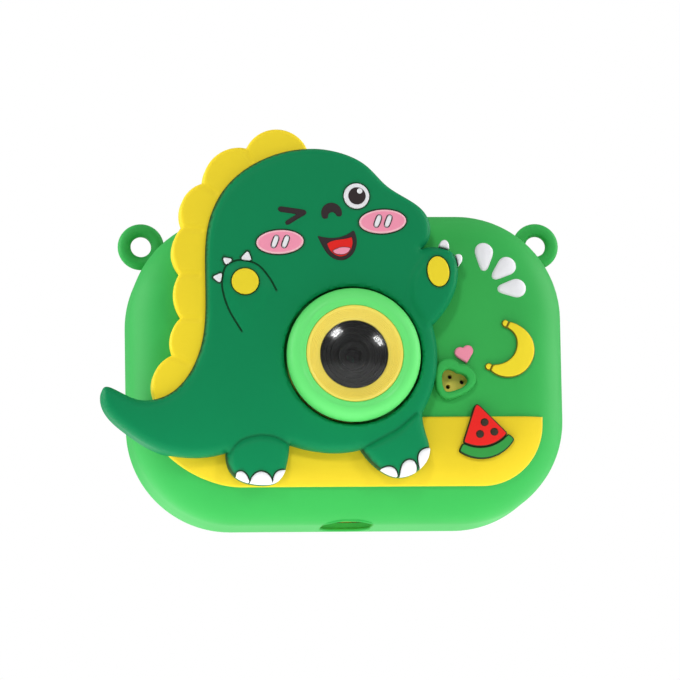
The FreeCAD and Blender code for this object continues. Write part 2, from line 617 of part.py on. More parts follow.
def make_melon():
    """A slice of melon: red flesh with black seeds let into it, on a green rind."""
    whole = on_cover("melon_slice", FLESH, melon_skin, "melon_rise")
    bed = plate("seed_bed", sum((circle(*seed, SEED_RADIUS) for seed in SEEDS), []),
                "front - melon_rise - 1", "front - melon_rise + 4 * detail_rise")
    seeds = common("seeds", melon_skin, bed)
    return {"melon_flesh": cut("flesh", whole, seeds), "melon_seeds": seeds,
            "melon_rind": on_cover("rind", RIND, melon_skin, "melon_rise")}


for label, piece in make_melon().items():
    subpart(piece, label)

# ---------------------------------------------------------------- camera housing
housing = cut("housing", camera_block, cavity_block)
SCREWS = [(f"{sx} * screw_x", z) for sx in (-1, 1) for z in ("screw_inset_z", "screw_high")]
SPLIT = "split_back"
GRILLE = ((22.9, -4.1), (25.6, -5.3), (22.4, -6.4))


def screw_discs(name, radius, y):
    return [disc(f"{name}_{index}", x, z, radius, y) for index, (x, z) in enumerate(SCREWS, start=1)]


def make_front_shell():
    front_half = block("front_half", ("-case_width", "case_width"), ("shell_front - 1", SPLIT),
                       ("-case_height", "2 * case_height"))
    face = common("front_face", housing, front_half)
    posts = screw_discs("boss", "boss_radius", ("cavity_front - root_depth", "board_front"))
    bosses = common("front_bosses", camera_block, fuse("boss_posts", *posts))
    turret = lens_disc("turret", "turret_radius", ("seat_front", "shell_front + root_depth"))
    hood_bore = lens_disc("hood_bore", "hood_radius + slip", ("seat_front - 1", "hood_back"))
    barrel_bore = lens_disc("barrel_bore", "barrel_radius + slip", ("hood_back - 1", "cavity_front + 1"))
    pilots = screw_discs("pilot", "screw_radius + slip", ("screw_tip - 1", "board_front + 1"))
    seat = disc("speaker_seat", "speaker_x", "speaker_z", "speaker_radius + slip",
                ("cavity_front", "cavity_front + front_round"))
    sound_holes = sum((circle(x, z, number("grille_radius")) for x, z in GRILLE), [])
    grille = plate("grille", sound_holes, "shell_front - 1", "cavity_front + 1")
    solid = fuse("front_solid", face, bosses, turret)
    return cut("front_shell", solid, hood_bore, barrel_bore, seat, grille, *pilots)


KEYS = {
    "key_up": ("key_x", "key_z + key_pitch"), "key_down": ("key_x", "key_z - key_pitch"),
    "key_left": ("key_x - key_pitch", "key_z"), "key_right": ("key_x + key_pitch", "key_z"),
    "key_ok": ("key_x", "key_z"),
    "key_mode": ("key_x - pair_spread / 2", "pair_z"), "key_menu": ("key_x + pair_spread / 2", "pair_z"),
}
BUTTONS = ("shutter", "power")


def make_rear_shell():
    rear_half = block("rear_half", ("-case_width", "case_width"), (SPLIT, "shell_back + 1"),
                      ("-case_height", "2 * case_height"))
    face = common("rear_face", housing, rear_half)
    panel = inset_block("rear_panel", "lip_margin + panel_gap", ("cavity_back", "panel_out"), None,
                        "panel_rise / 2")
    columns = screw_discs("column", "boss_radius", ("board_back", "cavity_back + root_depth"))
    holes = screw_discs("screw_hole", "screw_radius + slip", ("board_back - 1", "panel_out + 1"))
    sinks = screw_discs("screw_sink", "screw_head + slip", ("head_seat", "panel_out + 1"))
    keyways = [disc(f"{name}_hole", x, z, "key_radius + key_slip", ("cavity_back - 1", "panel_out + 1"))
               for name, (x, z) in KEYS.items()]
    button_holes = [post(f"{name}_hole", f"{name}_x", "button_back", f"{name}_radius + key_slip",
                         ("cavity_high - 1", "shell_high + 1")) for name in BUTTONS]
    recess = screen_slab("screen_recess", "glass_margin", "glass_round",
                         ("panel_out - glass_thick", "panel_out + 1"))
    view = screen_slab("screen_view", "-glass_ledge", "glass_round / 2", ("cavity_back - 1", "panel_out"))
    usb_hole = block("usb_hole", ("-usb_width / 2 - key_slip", "usb_width / 2 + key_slip"),
                     ("board_front - usb_thick - key_slip", "board_front + key_slip"),
                     ("shell_low - 1", "cavity_low + 1"))
    card_hole = block("card_hole", ("-card_width / 2 - 2 * key_slip", "card_width / 2 + 2 * key_slip"),
                      ("card_front - 2 * key_slip", "card_front + card_thick + 2 * key_slip"),
                      ("shell_low - 1", "cavity_low + 1"))
    solid = fuse("rear_solid", face, panel, *columns)
    return cut("rear_shell", solid, recess, view, usb_hole, card_hole, *holes, *sinks, *keyways,
               *button_holes)


def screen_slab(name, margin, corner, y):
    """A rounded slab over the screen, wider than the panel by margin on every side."""
    slab = soft_block(name, f"lcd_right - lcd_left + 2 * ({margin})", f"lcd_high - lcd_low + 2 * ({margin})",
                      y, "(lcd_low + lcd_high) / 2", corner)
    slab.setExpression("Placement.Base.x", formula("(lcd_left + lcd_right) / 2"))
    return slab


def make_screws():
    shanks = screw_discs("shank", "screw_radius", ("screw_tip", "head_seat + head_thick / 2"))
    heads = screw_discs("head", "screw_head", ("head_seat", "head_seat + head_thick"))
    return fuse("case_screws", *shanks, *heads)


subpart(make_front_shell(), "front_shell")
subpart(make_rear_shell(), "rear_shell")
subpart(make_screws(), "case_screws")


# ---------------------------------------------------------------- lens
def make_lens_ring():
    """The green bezel: a round-edged flange in front of a neck that passes through the cover."""
    body = doc.addObject("PartDesign::Body", "ring_flange")
    sketch = body.newObject("Sketcher::SketchObject", "ring_flange_sketch")
    sketch.AttachmentSupport = [(plane(body, "XZ_Plane"), "")]
    sketch.MapMode = "FlatFace"
    for index, title in enumerate(("outer", "inner")):
        sketch.addGeometry(Part.Circle(Vector(0, 0, 0), Vector(0, 0, 1), 16 - 4 * index))
        sketch.addConstraint(Sketcher.Constraint("Coincident", index, 3, -1, 1))
        constraint = sketch.addConstraint(Sketcher.Constraint("Radius", index, 16.0 - 4 * index))
        sketch.renameConstraint(constraint, title)
    sketch.setExpression("Constraints.outer", formula("ring_radius"))
    sketch.setExpression("Constraints.inner", formula("trim_radius + slip"))
    pad = body.newObject("PartDesign::Pad", "ring_flange_pad")
    pad.Profile = sketch
    bind(pad, Length="ring_ledge - ring_front")
    depth = number("ring_front - ring_ledge")

    def outer_front(edge):
        return flat_at(depth)(edge) and edge.BoundBox.XLength > 2 * number("trim_radius") + 1
    body.Tip = fillet(body, "ring_flange_round", pad, outer_front, "ring_round")
    place(body, 0, "ring_ledge", "lens_z")
    doc.recompute()
    neck = lens_disc("ring_neck_disc", "ring_neck", ("ring_ledge - 0.3", "shell_front"))
    socket = lens_disc("ring_socket", "turret_radius + slip", ("seat_front - 0.3", "shell_front + 1"))
    bore = lens_disc("ring_bore", "trim_radius + slip", ("ring_front - 1", "seat_front"))
    return cut("lens_ring", fuse("ring_solid", body, neck), socket, bore)


def make_trim_ring():
    """The yellow ring: a tube whose front slopes in towards the window."""
    dish = doc.addObject("Part::Cone", "trim_dish")
    bind(dish, Radius1="trim_radius - 0.4", Radius2="hood_radius + slip",
         Height="hood_front - glass_thick - trim_front")
    place(dish, 0, "trim_front", "lens_z", TO_BACK)
    tube = ring("trim_tube", 0, "lens_z", "trim_radius", "hood_radius + slip", ("trim_front", "seat_front"))
    return cut("trim_ring", tube, dish)


def make_lens_hood():
    """The black funnel in front of the lens."""
    cone = doc.addObject("Part::Cone", "hood_cone")
    bind(cone, Radius1="cone_wide", Radius2="barrel_radius + slip", Height="cone_depth")
    place(cone, 0, "hood_front", "lens_z", TO_BACK)
    tube = ring("hood_tube", 0, "lens_z", "hood_radius", "barrel_radius + slip", ("hood_front", "hood_back"))
    return cut("lens_hood", tube, cone)


def make_barrel():
    """The lens barrel: a pocket for a lens at each end and a narrower way for light between them."""
    outer = lens_disc("barrel_outer", "barrel_radius", ("barrel_front", "barrel_back"))
    pocket = lens_disc("front_pocket", "element_radius + slip",
                       ("barrel_front - 1", "front_lens + element_thick"))
    light_way = lens_disc("light_way", "element_radius * 0.7", ("cone_back", "holder_back"))
    rear_pocket = lens_disc("rear_pocket", "element_radius + slip", ("rear_lens", "holder_back"))
    return cut("lens_barrel", outer, pocket, light_way, rear_pocket)


def make_elements():
    first = lens_disc("front_element", "element_radius", ("front_lens", "front_lens + element_thick"))
    second = lens_disc("rear_element", "element_radius", ("rear_lens", "rear_lens + element_thick"))
    return fuse("lens_elements", first, second)


def centred(name, side, y):
    """A square block on the lens axis."""
    half = f"({side}) / 2"
    return block(name, (f"-{half}", half), y, (f"lens_z - {half}", f"lens_z + {half}"))


def make_sensor_holder():
    """A black square block behind the front wall, bored for the barrel, with a well for the sensor."""
    holder = centred("holder_block", "holder_side", ("cavity_front", "holder_back"))
    bore = lens_disc("holder_bore", "barrel_radius + slip",
                     ("cavity_front - 1", "holder_back - sensor_well + slip"))
    well = centred("holder_well", "sensor_side + 8 * slip", ("holder_back - sensor_well", "holder_back + 1"))
    return cut("sensor_holder", holder, bore, well)


def make_sensor_board():
    card = centred("sensor_card", "sensor_board_side", ("holder_back", "sensor_back"))
    chip = centred("sensor_chip", "sensor_side", ("holder_back - sensor_well * 0.6", "holder_back + 0.1"))
    return fuse("sensor_board", card, chip)


subpart(make_lens_ring(), "lens_ring")
subpart(make_trim_ring(), "trim_ring")
subpart(make_lens_hood(), "lens_hood")
subpart(lens_disc("lens_window", "hood_radius - slip", ("hood_front - glass_thick", "hood_front")),
        "lens_window")
subpart(make_barrel(), "lens_barrel")
subpart(make_elements(), "lens_elements")
subpart(make_sensor_holder(), "sensor_holder")
subpart(make_sensor_board(), "sensor_board")

# ---------------------------------------------------------------- boards, screen and battery
def make_sensor_flex():
    """The sensor's film lead: down behind its board, then back to the main board."""
    across = ("-film_width / 4", "film_width / 4")
    down = block("sensor_film_down", across, ("sensor_back", "sensor_back + flex_thick"),
                 ("film_low", "lens_z - 1"))
    run = block("sensor_film_run", across, ("sensor_back", "board_front"),
                ("film_low", "film_low + flex_thick"))
    return fuse("sensor_flex", down, run)


def make_lcd_flex():
    """The screen's film lead: out of the panel's lower edge, then forward to the main board."""
    across = ("lcd_right - film_inset - film_width", "lcd_right - film_inset")
    depth = "lcd_back - lcd_thick / 2"
    down = block("lcd_film_down", across, (depth, f"{depth} + flex_thick"), ("lcd_film_low", "lcd_low"))
    run = block("lcd_film_run", across, ("board_back", f"{depth} + flex_thick"),
                ("lcd_film_low", "lcd_film_low + flex_thick"))
    return fuse("lcd_flex", down, run)


def make_main_board():
    outline = inset_block("board_outline", "cavity_inset + board_gap", ("board_front", "board_back"))
    holes = screw_discs("board_hole", "screw_radius + 4 * slip", ("board_front - 1", "board_back + 1"))
    return cut("main_board", outline, *holes)


def make_lcd_frame():
    """The tray that carries the screen panel on the board."""
    tray = block("frame_block", SCREEN_X, ("board_back", "lcd_front"), SCREEN_Z)
    hollow = block("frame_window", ("lcd_left + frame_wall", "lcd_right - frame_wall"),
                   ("board_back - 1", "lcd_front - frame_skin"),
                   ("lcd_low + frame_wall", "lcd_high - frame_wall"))
    return cut("lcd_frame", tray, hollow)


SCREEN_X = ("lcd_left", "lcd_right")
SCREEN_Z = ("lcd_low", "lcd_high")
subpart(make_sensor_flex(), "sensor_flex")
subpart(make_main_board(), "main_board")
subpart(make_lcd_frame(), "lcd_frame")
subpart(block("lcd_panel", SCREEN_X, ("lcd_front", "lcd_back"), SCREEN_Z), "lcd_panel")
subpart(make_lcd_flex(), "lcd_flex")
subpart(screen_slab("screen_window", "glass_margin - slip", "glass_round - slip",
                    ("panel_out - glass_thick", "panel_out")), "screen_window")
subpart(block("battery", ("battery_left", "battery_right"), ("battery_front", "board_front"),
              ("battery_low", "battery_high")), "battery")


def lead(name, x, points, bend):
    """One insulated lead: straight runs joined by tangent arcs, in a plane across the camera's depth."""
    places = [Vector(number(x), number(y), number(z)) for y, z in points]
    edges = []
    start = places[0]
    for before, corner, after in zip(places, places[1:], places[2:]):
        arrive = corner + (before - corner).normalize() * bend
        leave = corner + (after - corner).normalize() * bend
        inside = corner + ((before - corner).normalize() + (after - corner).normalize()) * bend
        on_arc = inside + (corner - inside).normalize() * bend
        edges.append(Part.LineSegment(start, arrive).toShape())
        edges.append(Part.Arc(arrive, on_arc, leave).toShape())
        start = leave
    edges.append(Part.LineSegment(start, places[-1]).toShape())
    section = Part.Wire(Part.Circle(places[0], places[1] - places[0], number("lead_radius")).toShape())
    return Part.Wire(edges).makePipeShell([section], True, True)


def leads(name, first_x, points, bend):
    """A pair of leads side by side."""
    pair = doc.addObject("Part::Feature", name)
    pair.Shape = Part.Compound([lead(name, f"{first_x} + {shift}", points, bend) for shift in (0, 1.4)])
    return pair


BATTERY_ROUTE = [("battery_front + 1", "battery_high"), ("battery_front + 1", "battery_high + 5"),
                 ("board_front", "battery_high + 5")]
SPEAKER_ROUTE = [("speaker_back", "speaker_z - 5"), ("speaker_back + 5.5", "speaker_z - 5"),
                 ("speaker_back + 5.5", "speaker_z - 12"), ("board_front", "speaker_z - 12")]
subpart(leads("battery_leads", "battery_left + 14", BATTERY_ROUTE, 1.8), "battery_leads")
subpart(disc("speaker", "speaker_x", "speaker_z", "speaker_radius", ("cavity_front", "speaker_back")),
        "speaker")
subpart(leads("speaker_leads", "speaker_x - 4", SPEAKER_ROUTE, 2), "speaker_leads")


# ---------------------------------------------------------------- sockets and card
def make_usb_socket():
    """The charging socket: a steel can on the front of the board, open downwards, with its tongue."""
    x = ("-usb_width / 2", "usb_width / 2")
    y = ("board_front - usb_thick", "board_front")
    inner_x = (f"{x[0]} + usb_wall", f"{x[1]} - usb_wall")
    inner_y = (f"{y[0]} + usb_wall", f"{y[1]} - usb_wall")
    centre = "board_front - usb_thick / 2"
    can = block("usb_can", x, y, ("usb_low", "usb_low + usb_length"))
    mouth = block("usb_mouth", inner_x, inner_y, ("usb_low - 1", "usb_low + usb_length - 2 * usb_wall"))
    tongue = block("usb_tongue", (f"{x[0]} + 3 * usb_wall", f"{x[1]} - 3 * usb_wall"),
                   (f"{centre} - tongue_thick / 2", f"{centre} + tongue_thick / 2"),
                   ("usb_low + 2 * usb_wall", "usb_low + usb_length - usb_wall"))
    return fuse("usb_socket", cut("usb_shell", can, mouth), tongue)


def make_card_socket():
    can = block("card_can", ("-card_socket_width / 2", "card_socket_width / 2"),
                ("board_back", "board_back + card_socket_thick"), ("card_socket_low", "card_socket_high"))
    slot = block("card_slot", ("-card_width / 2 - card_gap", "card_width / 2 + card_gap"),
                 ("card_front - card_gap", "card_front + card_thick + card_gap"),
                 ("card_socket_low - 1", "card_low + card_length + card_gap"))
    return cut("card_socket", can, slot)


subpart(make_usb_socket(), "usb_socket")
subpart(make_card_socket(), "card_socket")
subpart(block("memory_card", ("-card_width / 2", "card_width / 2"), ("card_front", "card_front + card_thick"),
              ("card_low", "card_low + card_length")), "memory_card")

# ---------------------------------------------------------------- keys, buttons and their switches
for name, (x, z) in KEYS.items():
    cap = disc(f"{name}_cap", x, z, "key_radius", ("flange_front", "panel_out + key_rise"))
    flange = disc(f"{name}_flange", x, z, "key_flange", ("flange_front", "flange_front + flange_thick"))
    subpart(fuse(name, cap, flange), name)



def around(centre, side):
    """The two ends of a side that is centred on a formula."""
    return f"{centre} - {side} / 2", f"{centre} + {side} / 2"


SWITCH_Y = ("board_back", "board_back + switch_height")
subpart(fuse("key_switches", *[block(f"{name}_switch", around(x, "switch_side"), SWITCH_Y,
                                     around(z, "switch_side")) for name, (x, z) in KEYS.items()]),
        "key_switches")

for name in BUTTONS:
    cap = post(f"{name}_cap", f"{name}_x", "button_back", f"{name}_radius",
               ("button_flange_low", "case_height + button_rise"))
    flange = post(f"{name}_flange", f"{name}_x", "button_back", f"{name}_radius + button_flange",
                  ("button_flange_low", "button_flange_top"))
    subpart(fuse(f"{name}_button", cap, flange), f"{name}_button")

subpart(fuse("top_switches", *[block(f"{name}_switch", around(f"{name}_x", "top_switch_side"), SWITCH_Y,
                                     ("top_switch_top - top_switch_height", "top_switch_top"))
                               for name in BUTTONS]), "top_switches")

# ---------------------------------------------------------------- check and write
doc.recompute()
faults = [thing.Name for thing in doc.Objects if "Invalid" in thing.State or "Error" in thing.State]
faults += [thing.Label for thing in SUBPARTS if thing.Shape.isNull() or not thing.Shape.isValid()]
faults += [thing.Label for thing in SUBPARTS if not thing.Shape.Solids]
if faults:
    raise RuntimeError("These objects did not build: " + ", ".join(faults))

os.makedirs("parts", exist_ok=True)
for thing in SUBPARTS:
    thing.Shape.exportStep(f"parts/{thing.Label}.step")
print(len(SUBPARTS), "sub-parts")
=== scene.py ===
import functools
import math

import bmesh
import bpy
import numpy as np
from mathutils import Matrix, Vector
from mathutils.geometry import delaunay_2d_cdt
from mathutils.kdtree import KDTree


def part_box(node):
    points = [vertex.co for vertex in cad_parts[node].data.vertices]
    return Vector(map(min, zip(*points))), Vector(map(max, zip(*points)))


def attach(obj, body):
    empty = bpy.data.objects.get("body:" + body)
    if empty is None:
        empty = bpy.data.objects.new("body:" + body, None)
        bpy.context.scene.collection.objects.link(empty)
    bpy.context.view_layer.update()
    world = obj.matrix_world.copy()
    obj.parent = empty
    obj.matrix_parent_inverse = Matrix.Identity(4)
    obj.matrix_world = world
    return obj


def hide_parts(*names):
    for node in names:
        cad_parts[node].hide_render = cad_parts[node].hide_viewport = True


bl_info = {
    "name": "Child's camera in a dinosaur cover",
    "version": (1, 0, 0),
    "blender": (4, 5, 0),
    "location": "View3D > Sidebar > Toy Camera",
    "description": "Makes the looks of a child's camera in a moulded silicone cover round its packed model",
    "category": "Object",
}

# Shapes are worked out in millimetres, across (x), depth (y, the lens looks along -y) and up (z).
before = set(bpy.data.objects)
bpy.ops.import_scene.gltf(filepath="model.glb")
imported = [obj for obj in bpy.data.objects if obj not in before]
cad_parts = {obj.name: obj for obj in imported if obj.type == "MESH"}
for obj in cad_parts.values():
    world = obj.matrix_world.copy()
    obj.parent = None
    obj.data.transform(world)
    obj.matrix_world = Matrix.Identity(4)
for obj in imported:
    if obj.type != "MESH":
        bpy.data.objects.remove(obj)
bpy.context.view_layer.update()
MM = 0.001


def span(node):
    """Lowest and highest corner of a CAD node in millimetres."""
    low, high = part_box(node)
    return np.array(low) / MM, np.array(high) / MM


RING_LOW, RING_HIGH = span("lens_ring")
LENS_X = float(RING_LOW[0] + RING_HIGH[0]) / 2
LENS_Z = float(RING_LOW[2] + RING_HIGH[2]) / 2
DINO_FRONT = float(span("dino_body")[0][1])
DINO_BACK = float(span("dino_body")[1][1])
CREST_FRONT = float(span("dino_crest")[0][1])


# ---------------------------------------------------------------- sizes and colours
def length(name, default, note):
    """A size in millimetres shown as a length."""
    return bpy.props.FloatProperty(name=name, description=note, default=default * MM, subtype="DISTANCE",
                                   unit="LENGTH", precision=5)


def amount(name, default, note, **more):
    """A number without a length: a strength, a power or an angle in radians."""
    return bpy.props.FloatProperty(name=name, description=note, default=default, **more)


def colour(name, default, note):
    """A linear RGB colour."""
    return bpy.props.FloatVectorProperty(name=name, description=note, default=default, size=3, min=0, max=1,
                                         subtype="COLOR")


class CoverSizes(bpy.types.PropertyGroup):
    """Sizes of the silicone cover and the artwork moulded on it"""
    width: length("Width", 100, "Width of the cover without its tail and eyes")
    height: length("Height", 71.5, "Height of the cover")
    front: length("Front", -16, "Depth of the cover's flat front")
    corner: length("Corner", 24, "Radius of the cover's corners seen from the front")
    front_round: length("Front round", 12, "Radius of the round edge of the front")
    dino_edge: length("Dinosaur edge", 1.9, "Radius of the dinosaur's soft edge")
    crest_edge: length("Crest edge", 0.9, "Radius of the crest's soft edge")
    art_edge: length("Artwork edge", 0.45, "Radius of the soft edge of the flat artwork")
    patch_rise: length("Ground rise", 1.0, "How far the ground, petals and banana stand out")
    melon_rise: length("Melon rise", 2.2, "How far the melon slice stands out")
    rim_rise: length("Rim rise", 1.85, "How far the heart-shaped rim stands out")
    mark_rise: length("Mark rise", 0.3, "How far the marks on the dinosaur stand out")
    swell: length("Swelling", 0.75, "How far the arms and feet swell out of the body")
    # The lines cut into the dinosaur are darkened with painted shade.
    line: length("Line", 0.145, "Half width of the dark moulded lines")
    mesh_step: length("Mesh step", 0.62, "Distance between the points of the moulded surfaces")


class CoverColours(bpy.types.PropertyGroup):
    """Colours of the silicone"""
    cover: colour("Cover", (0.034, 0.395, 0.075), "Light green silicone")
    body: colour("Dinosaur", (0.002, 0.222, 0.078), "Dark green silicone")
    crest: colour("Crest", (0.89, 0.68, 0.022), "Yellow silicone of the crest")
    ground: colour("Ground", (0.75, 0.56, 0.018), "Yellow silicone of the ground")
    banana: colour("Banana", (0.83, 0.66, 0.022), "Yellow silicone of the banana and the palms")
    white: colour("White", (0.80, 0.80, 0.83), "White silicone")
    pink: colour("Pink", (0.88, 0.30, 0.43), "Pink silicone")
    red: colour("Red", (0.75, 0.015, 0.012), "Red silicone")
    rind: colour("Rind", (0.03, 0.28, 0.05), "Green silicone of the melon's rind")
    dark: colour("Dark", (0.030, 0.020, 0.022), "Brown-black silicone")
    # The line colour is the painted shade in the dinosaur's cut lines and along its shaded edges.
    line: colour("Line", (0.012, 0.040, 0.018), "Colour of the dark moulded lines")


class LensSizes(bpy.types.PropertyGroup):
    """Sizes of the parts round the lens"""
    ring_crown: length("Bezel crown", 3.0, "Depth of the round outer edge of the bezel")
    ridge_count: bpy.props.IntProperty(name="Ridges", description="Fine ridges on the yellow ring", default=6,
                                       min=1, max=20)
    ridge_radius: length("Ridge radius", 0.09, "Thickness of one ridge of the yellow ring")
    window_bulge: length("Window bulge", 1.3, "How far the lens window bulges")
    baffle_count: bpy.props.IntProperty(name="Baffles", description="Rings in the black hood", default=3,
                                        min=1, max=12)


class BackSizes(bpy.types.PropertyGroup):
    """Sizes of the keys, buttons and screws"""
    key_dome: length("Key dome", 0.35, "How far a key's face bulges")
    symbol_rise: length("Symbol rise", 0.08, "How far a key's symbol stands out")
    screw_slot: length("Screw cross", 0.45, "Half width of the cross in a screw's head")
    bezel: length("Screen border", 2.4, "Width of the black border printed round the screen")


class StageSettings(bpy.types.PropertyGroup):
    """The camera and the light"""
    azimuth: amount("Azimuth", math.radians(-6), "Camera's turn round the object", subtype="ANGLE")
    elevation: amount("Elevation", math.radians(-8), "Camera's height as an angle", subtype="ANGLE")
    roll: amount("Roll", math.radians(1), "Tilt of the picture", subtype="ANGLE")
    distance: length("Distance", 1200, "Camera's distance")
    lens: amount("Lens", 274.8, "Focal length in millimetres")
    aim_height: length("Aim height", 36, "Height of the point that the camera is set up on")
    aim_right: length("Aim right", -0.92, "How far the camera is moved along the picture's width")
    aim_up: length("Aim up", 7.4, "How far the camera is moved along the picture's height")
    ambient: amount("Ambient", 0.26, "Strength of the light tent")
    floor_glow: amount("Floor glow", 1.35, "Strength of the light table by the object")
    floor_dim: amount("Floor edge", 0.22, "Strength of the light table further out")
    side: amount("Side light", 7.5, "Power of the right softbox in watts")
    top: amount("Top light", 1.0, "Power of the overhead softbox in watts")
    spark: amount("Window light", 1.7, "Power of the brighter small softbox in watts")


def sizes():
    """The cover's sizes, as they stand in the scene."""
    return bpy.context.scene.toy_cover


def paints():
    """The silicone's colours, as they stand in the scene."""
    return bpy.context.scene.toy_colours


# ---------------------------------------------------------------- nodes
def wire(tree, kind, settings=None, inputs=None):
    """Add a node: its settings come first, then the values or links of its sockets."""
    node = tree.nodes.new(kind)
    for name, value in (settings or {}).items():
        if name == "stops":
            ramp = node.color_ramp.elements
            while len(ramp) < len(value):
                ramp.new(1)
            for element, (position, shade) in zip(ramp, value):
                element.position = position
                element.color = (*shade, 1) if len(shade) == 3 else shade
        else:
            setattr(node, name, value)
    for name, value in (inputs or {}).items():
        value = value.socket if isinstance(value, Number) else value
        if isinstance(value, bpy.types.NodeSocket):
            tree.links.new(value, node.inputs[name])
        else:
            node.inputs[name].default_value = value
    return node


class Number:
    """A number that varies over a surface, with Python's own arithmetic."""

    def __init__(self, tree, socket):
        self.tree = tree
        self.socket = socket

    def math(self, operation, first, second=0.0):
        node = wire(self.tree, "ShaderNodeMath", {"operation": operation}, {0: first, 1: second})
        return Number(self.tree, node.outputs[0])

    def __add__(self, other):
        return self.math("ADD", self, other)

    def __sub__(self, other):
        return self.math("SUBTRACT", self, other)

    def __rsub__(self, other):
        return self.math("SUBTRACT", other, self)

    def __mul__(self, other):
        return self.math("MULTIPLY", self, other)

    __radd__ = __add__
    __rmul__ = __mul__


class Finish:
    """A material built round one Principled shader."""

    def __init__(self, name, **constants):
        self.material = bpy.data.materials.new(name)
        self.material.use_nodes = True
        self.tree = self.material.node_tree
        self.tree.nodes.clear()
        self.shader = self.node("ShaderNodeBsdfPrincipled")
        for title, value in constants.items():
            self.shader.inputs[title.replace("_", " ")].default_value = value
        self.node("ShaderNodeOutputMaterial", inputs={"Surface": self.shader.outputs[0]})
        self.place = self.node("ShaderNodeTexCoord").outputs["Object"]

    def node(self, kind, settings=None, inputs=None):
        return wire(self.tree, kind, settings, inputs)

    def number(self, socket):
        return Number(self.tree, socket)

    def noise(self, size, detail=2.0):
        """Soft noise from 0 to 1 whose spots are about size millimetres across."""
        node = self.node("ShaderNodeTexNoise", inputs={"Vector": self.place, "Scale": 1 / (size * MM),
                                                       "Detail": detail})
        return self.number(node.outputs[0])

    def painted(self, name):
        """A number stored on the mesh's points."""
        return self.number(self.node("ShaderNodeAttribute", {"attribute_name": name}).outputs["Fac"])

    def blend(self, factor, first, second):
        """A colour between two colours."""
        node = self.node("ShaderNodeMix", {"data_type": "RGBA", "clamp_factor": True},
                         {0: factor, 6: rgba(first), 7: rgba(second)})
        return node.outputs[2]

    def bump(self, height, depth):
        """Small relief of the given depth in millimetres."""
        node = self.node("ShaderNodeBump", inputs={"Strength": 1.0, "Distance": depth * MM, "Height": height})
        self.feed(Normal=node.outputs[0])

    def feed(self, **sockets):
        for title, value in sockets.items():
            value = value.socket if isinstance(value, Number) else value
            self.tree.links.new(value, self.shader.inputs[title.replace("_", " ")])


def rgba(shade):
    return shade if isinstance(shade, bpy.types.NodeSocket) else (*shade[:3], 1)


def darker(shade, factor):
    return tuple(channel * factor for channel in shade[:3])


FINISHES = {}


def finish(name, make, *details):
    """A finish by name, made the first time that it is asked for."""
    if name not in FINISHES:
        FINISHES[name] = make(name, *details)
    return FINISHES[name]


def silicone(name, shade, gloss=0.55, line=None, shine=0.22):
    """Matt moulded silicone: a fine grain, slightly uneven colour, and its line colour where the mesh holds
    it, which on the dinosaur and banana is painted shade and on the cheeks a painted highlight.
    """
    look = Finish(name, IOR=1.41, Specular_IOR_Level=shine, Coat_Weight=0.0)
    grain = look.noise(0.16, 3.0)
    cloud = look.noise(14.0, 2.0)
    speck = look.noise(1.1, 2.0)
    tone = look.blend(cloud * 0.6 + speck * 0.25, darker(shade, 1.05), darker(shade, 0.93))
    # Mix in the line colour where the mesh holds it: painted shade in the dinosaur's lines, along its shaded
    # edges and round the banana, a painted highlight round the cheeks, and dark outlines.
    tone = look.blend(look.painted("ink"), tone, line or paints().line)
    look.feed(Base_Color=tone, Roughness=gloss + grain * 0.08 + (cloud - 0.5) * 0.06)
    look.bump(grain + speck * 0.4, 0.012)
    return look.material


def coloured(name, paint, gloss=0.5, line=None, shine=0.22):
    """Silicone in one of the colours of the scene."""
    return finish(name, silicone, tuple(getattr(paints(), paint)), gloss, line, shine)


def plastic(name, shade, gloss=0.3, coat=0.25):
    """Moulded hard plastic: smooth, with a faint flow in the skin and small scuffs in the gloss."""
    look = Finish(name, IOR=1.5, Coat_Weight=coat, Coat_Roughness=0.12)
    flow = look.noise(9.0, 2.0)
    scuff = look.noise(0.7, 4.0)
    tone = look.blend(flow, darker(shade, 1.03), darker(shade, 0.95))
    look.feed(Base_Color=tone, Roughness=gloss + scuff * 0.12)
    look.bump(scuff + flow * 2, 0.006)
    return look.material


def black_plastic(name, shine=0.45, gloss=0.34):
    """Black plastic with a fine eroded texture."""
    look = Finish(name, IOR=1.5, Specular_IOR_Level=shine)
    grain = look.noise(0.3, 3.0)
    look.feed(Base_Color=look.blend(grain, (0.004, 0.005, 0.005), (0.009, 0.010, 0.010)),
              Roughness=gloss + grain * 0.2)
    look.bump(grain, 0.01)
    return look.material


def steel(name, shade=(0.56, 0.56, 0.58)):
    """Plated steel with fine brushing along its length."""
    look = Finish(name)
    stretch = look.node("ShaderNodeMapping", inputs={"Vector": look.place, "Scale": (1.0, 1.0, 0.06)})
    brush = look.node("ShaderNodeTexNoise", inputs={"Vector": stretch.outputs[0], "Scale": 9000.0,
                                                    "Detail": 3.0})
    streak = look.number(brush.outputs[0])
    look.feed(Base_Color=look.blend(streak, darker(shade, 1.1), darker(shade, 0.8)),
              Roughness=0.24 + streak * 0.2, Metallic=0.96 + streak * 0.04)
    look.bump(streak, 0.004)
    return look.material


def clear_glass(name, tint=(1.0, 1.0, 1.0), gloss=0.0, shine=1.0):
    """Clear moulded lens material with a faint unevenness in its polish."""
    look = Finish(name, IOR=1.12, Transmission_Weight=1.0, Coat_Weight=shine, Coat_IOR=1.38,
                  Coat_Roughness=0.12)
    smear = look.noise(5.0, 2.0)
    look.feed(Base_Color=look.blend(smear, tint, darker(tint, 0.97)), Roughness=gloss + smear * 0.004)
    return look.material


def screen_glass(name):
    """Smoked screen glass with a black border printed round the lit area."""
    look = Finish(name, IOR=1.5, Coat_Weight=0.6, Coat_Roughness=0.03)
    border = look.painted("ink")
    smear = look.noise(8.0, 3.0)
    panel = look.blend(smear, (0.018, 0.022, 0.028), (0.012, 0.015, 0.020))
    look.feed(Base_Color=look.blend(border, panel, (0.003, 0.003, 0.004)), Roughness=0.06 + smear * 0.04)
    return look.material


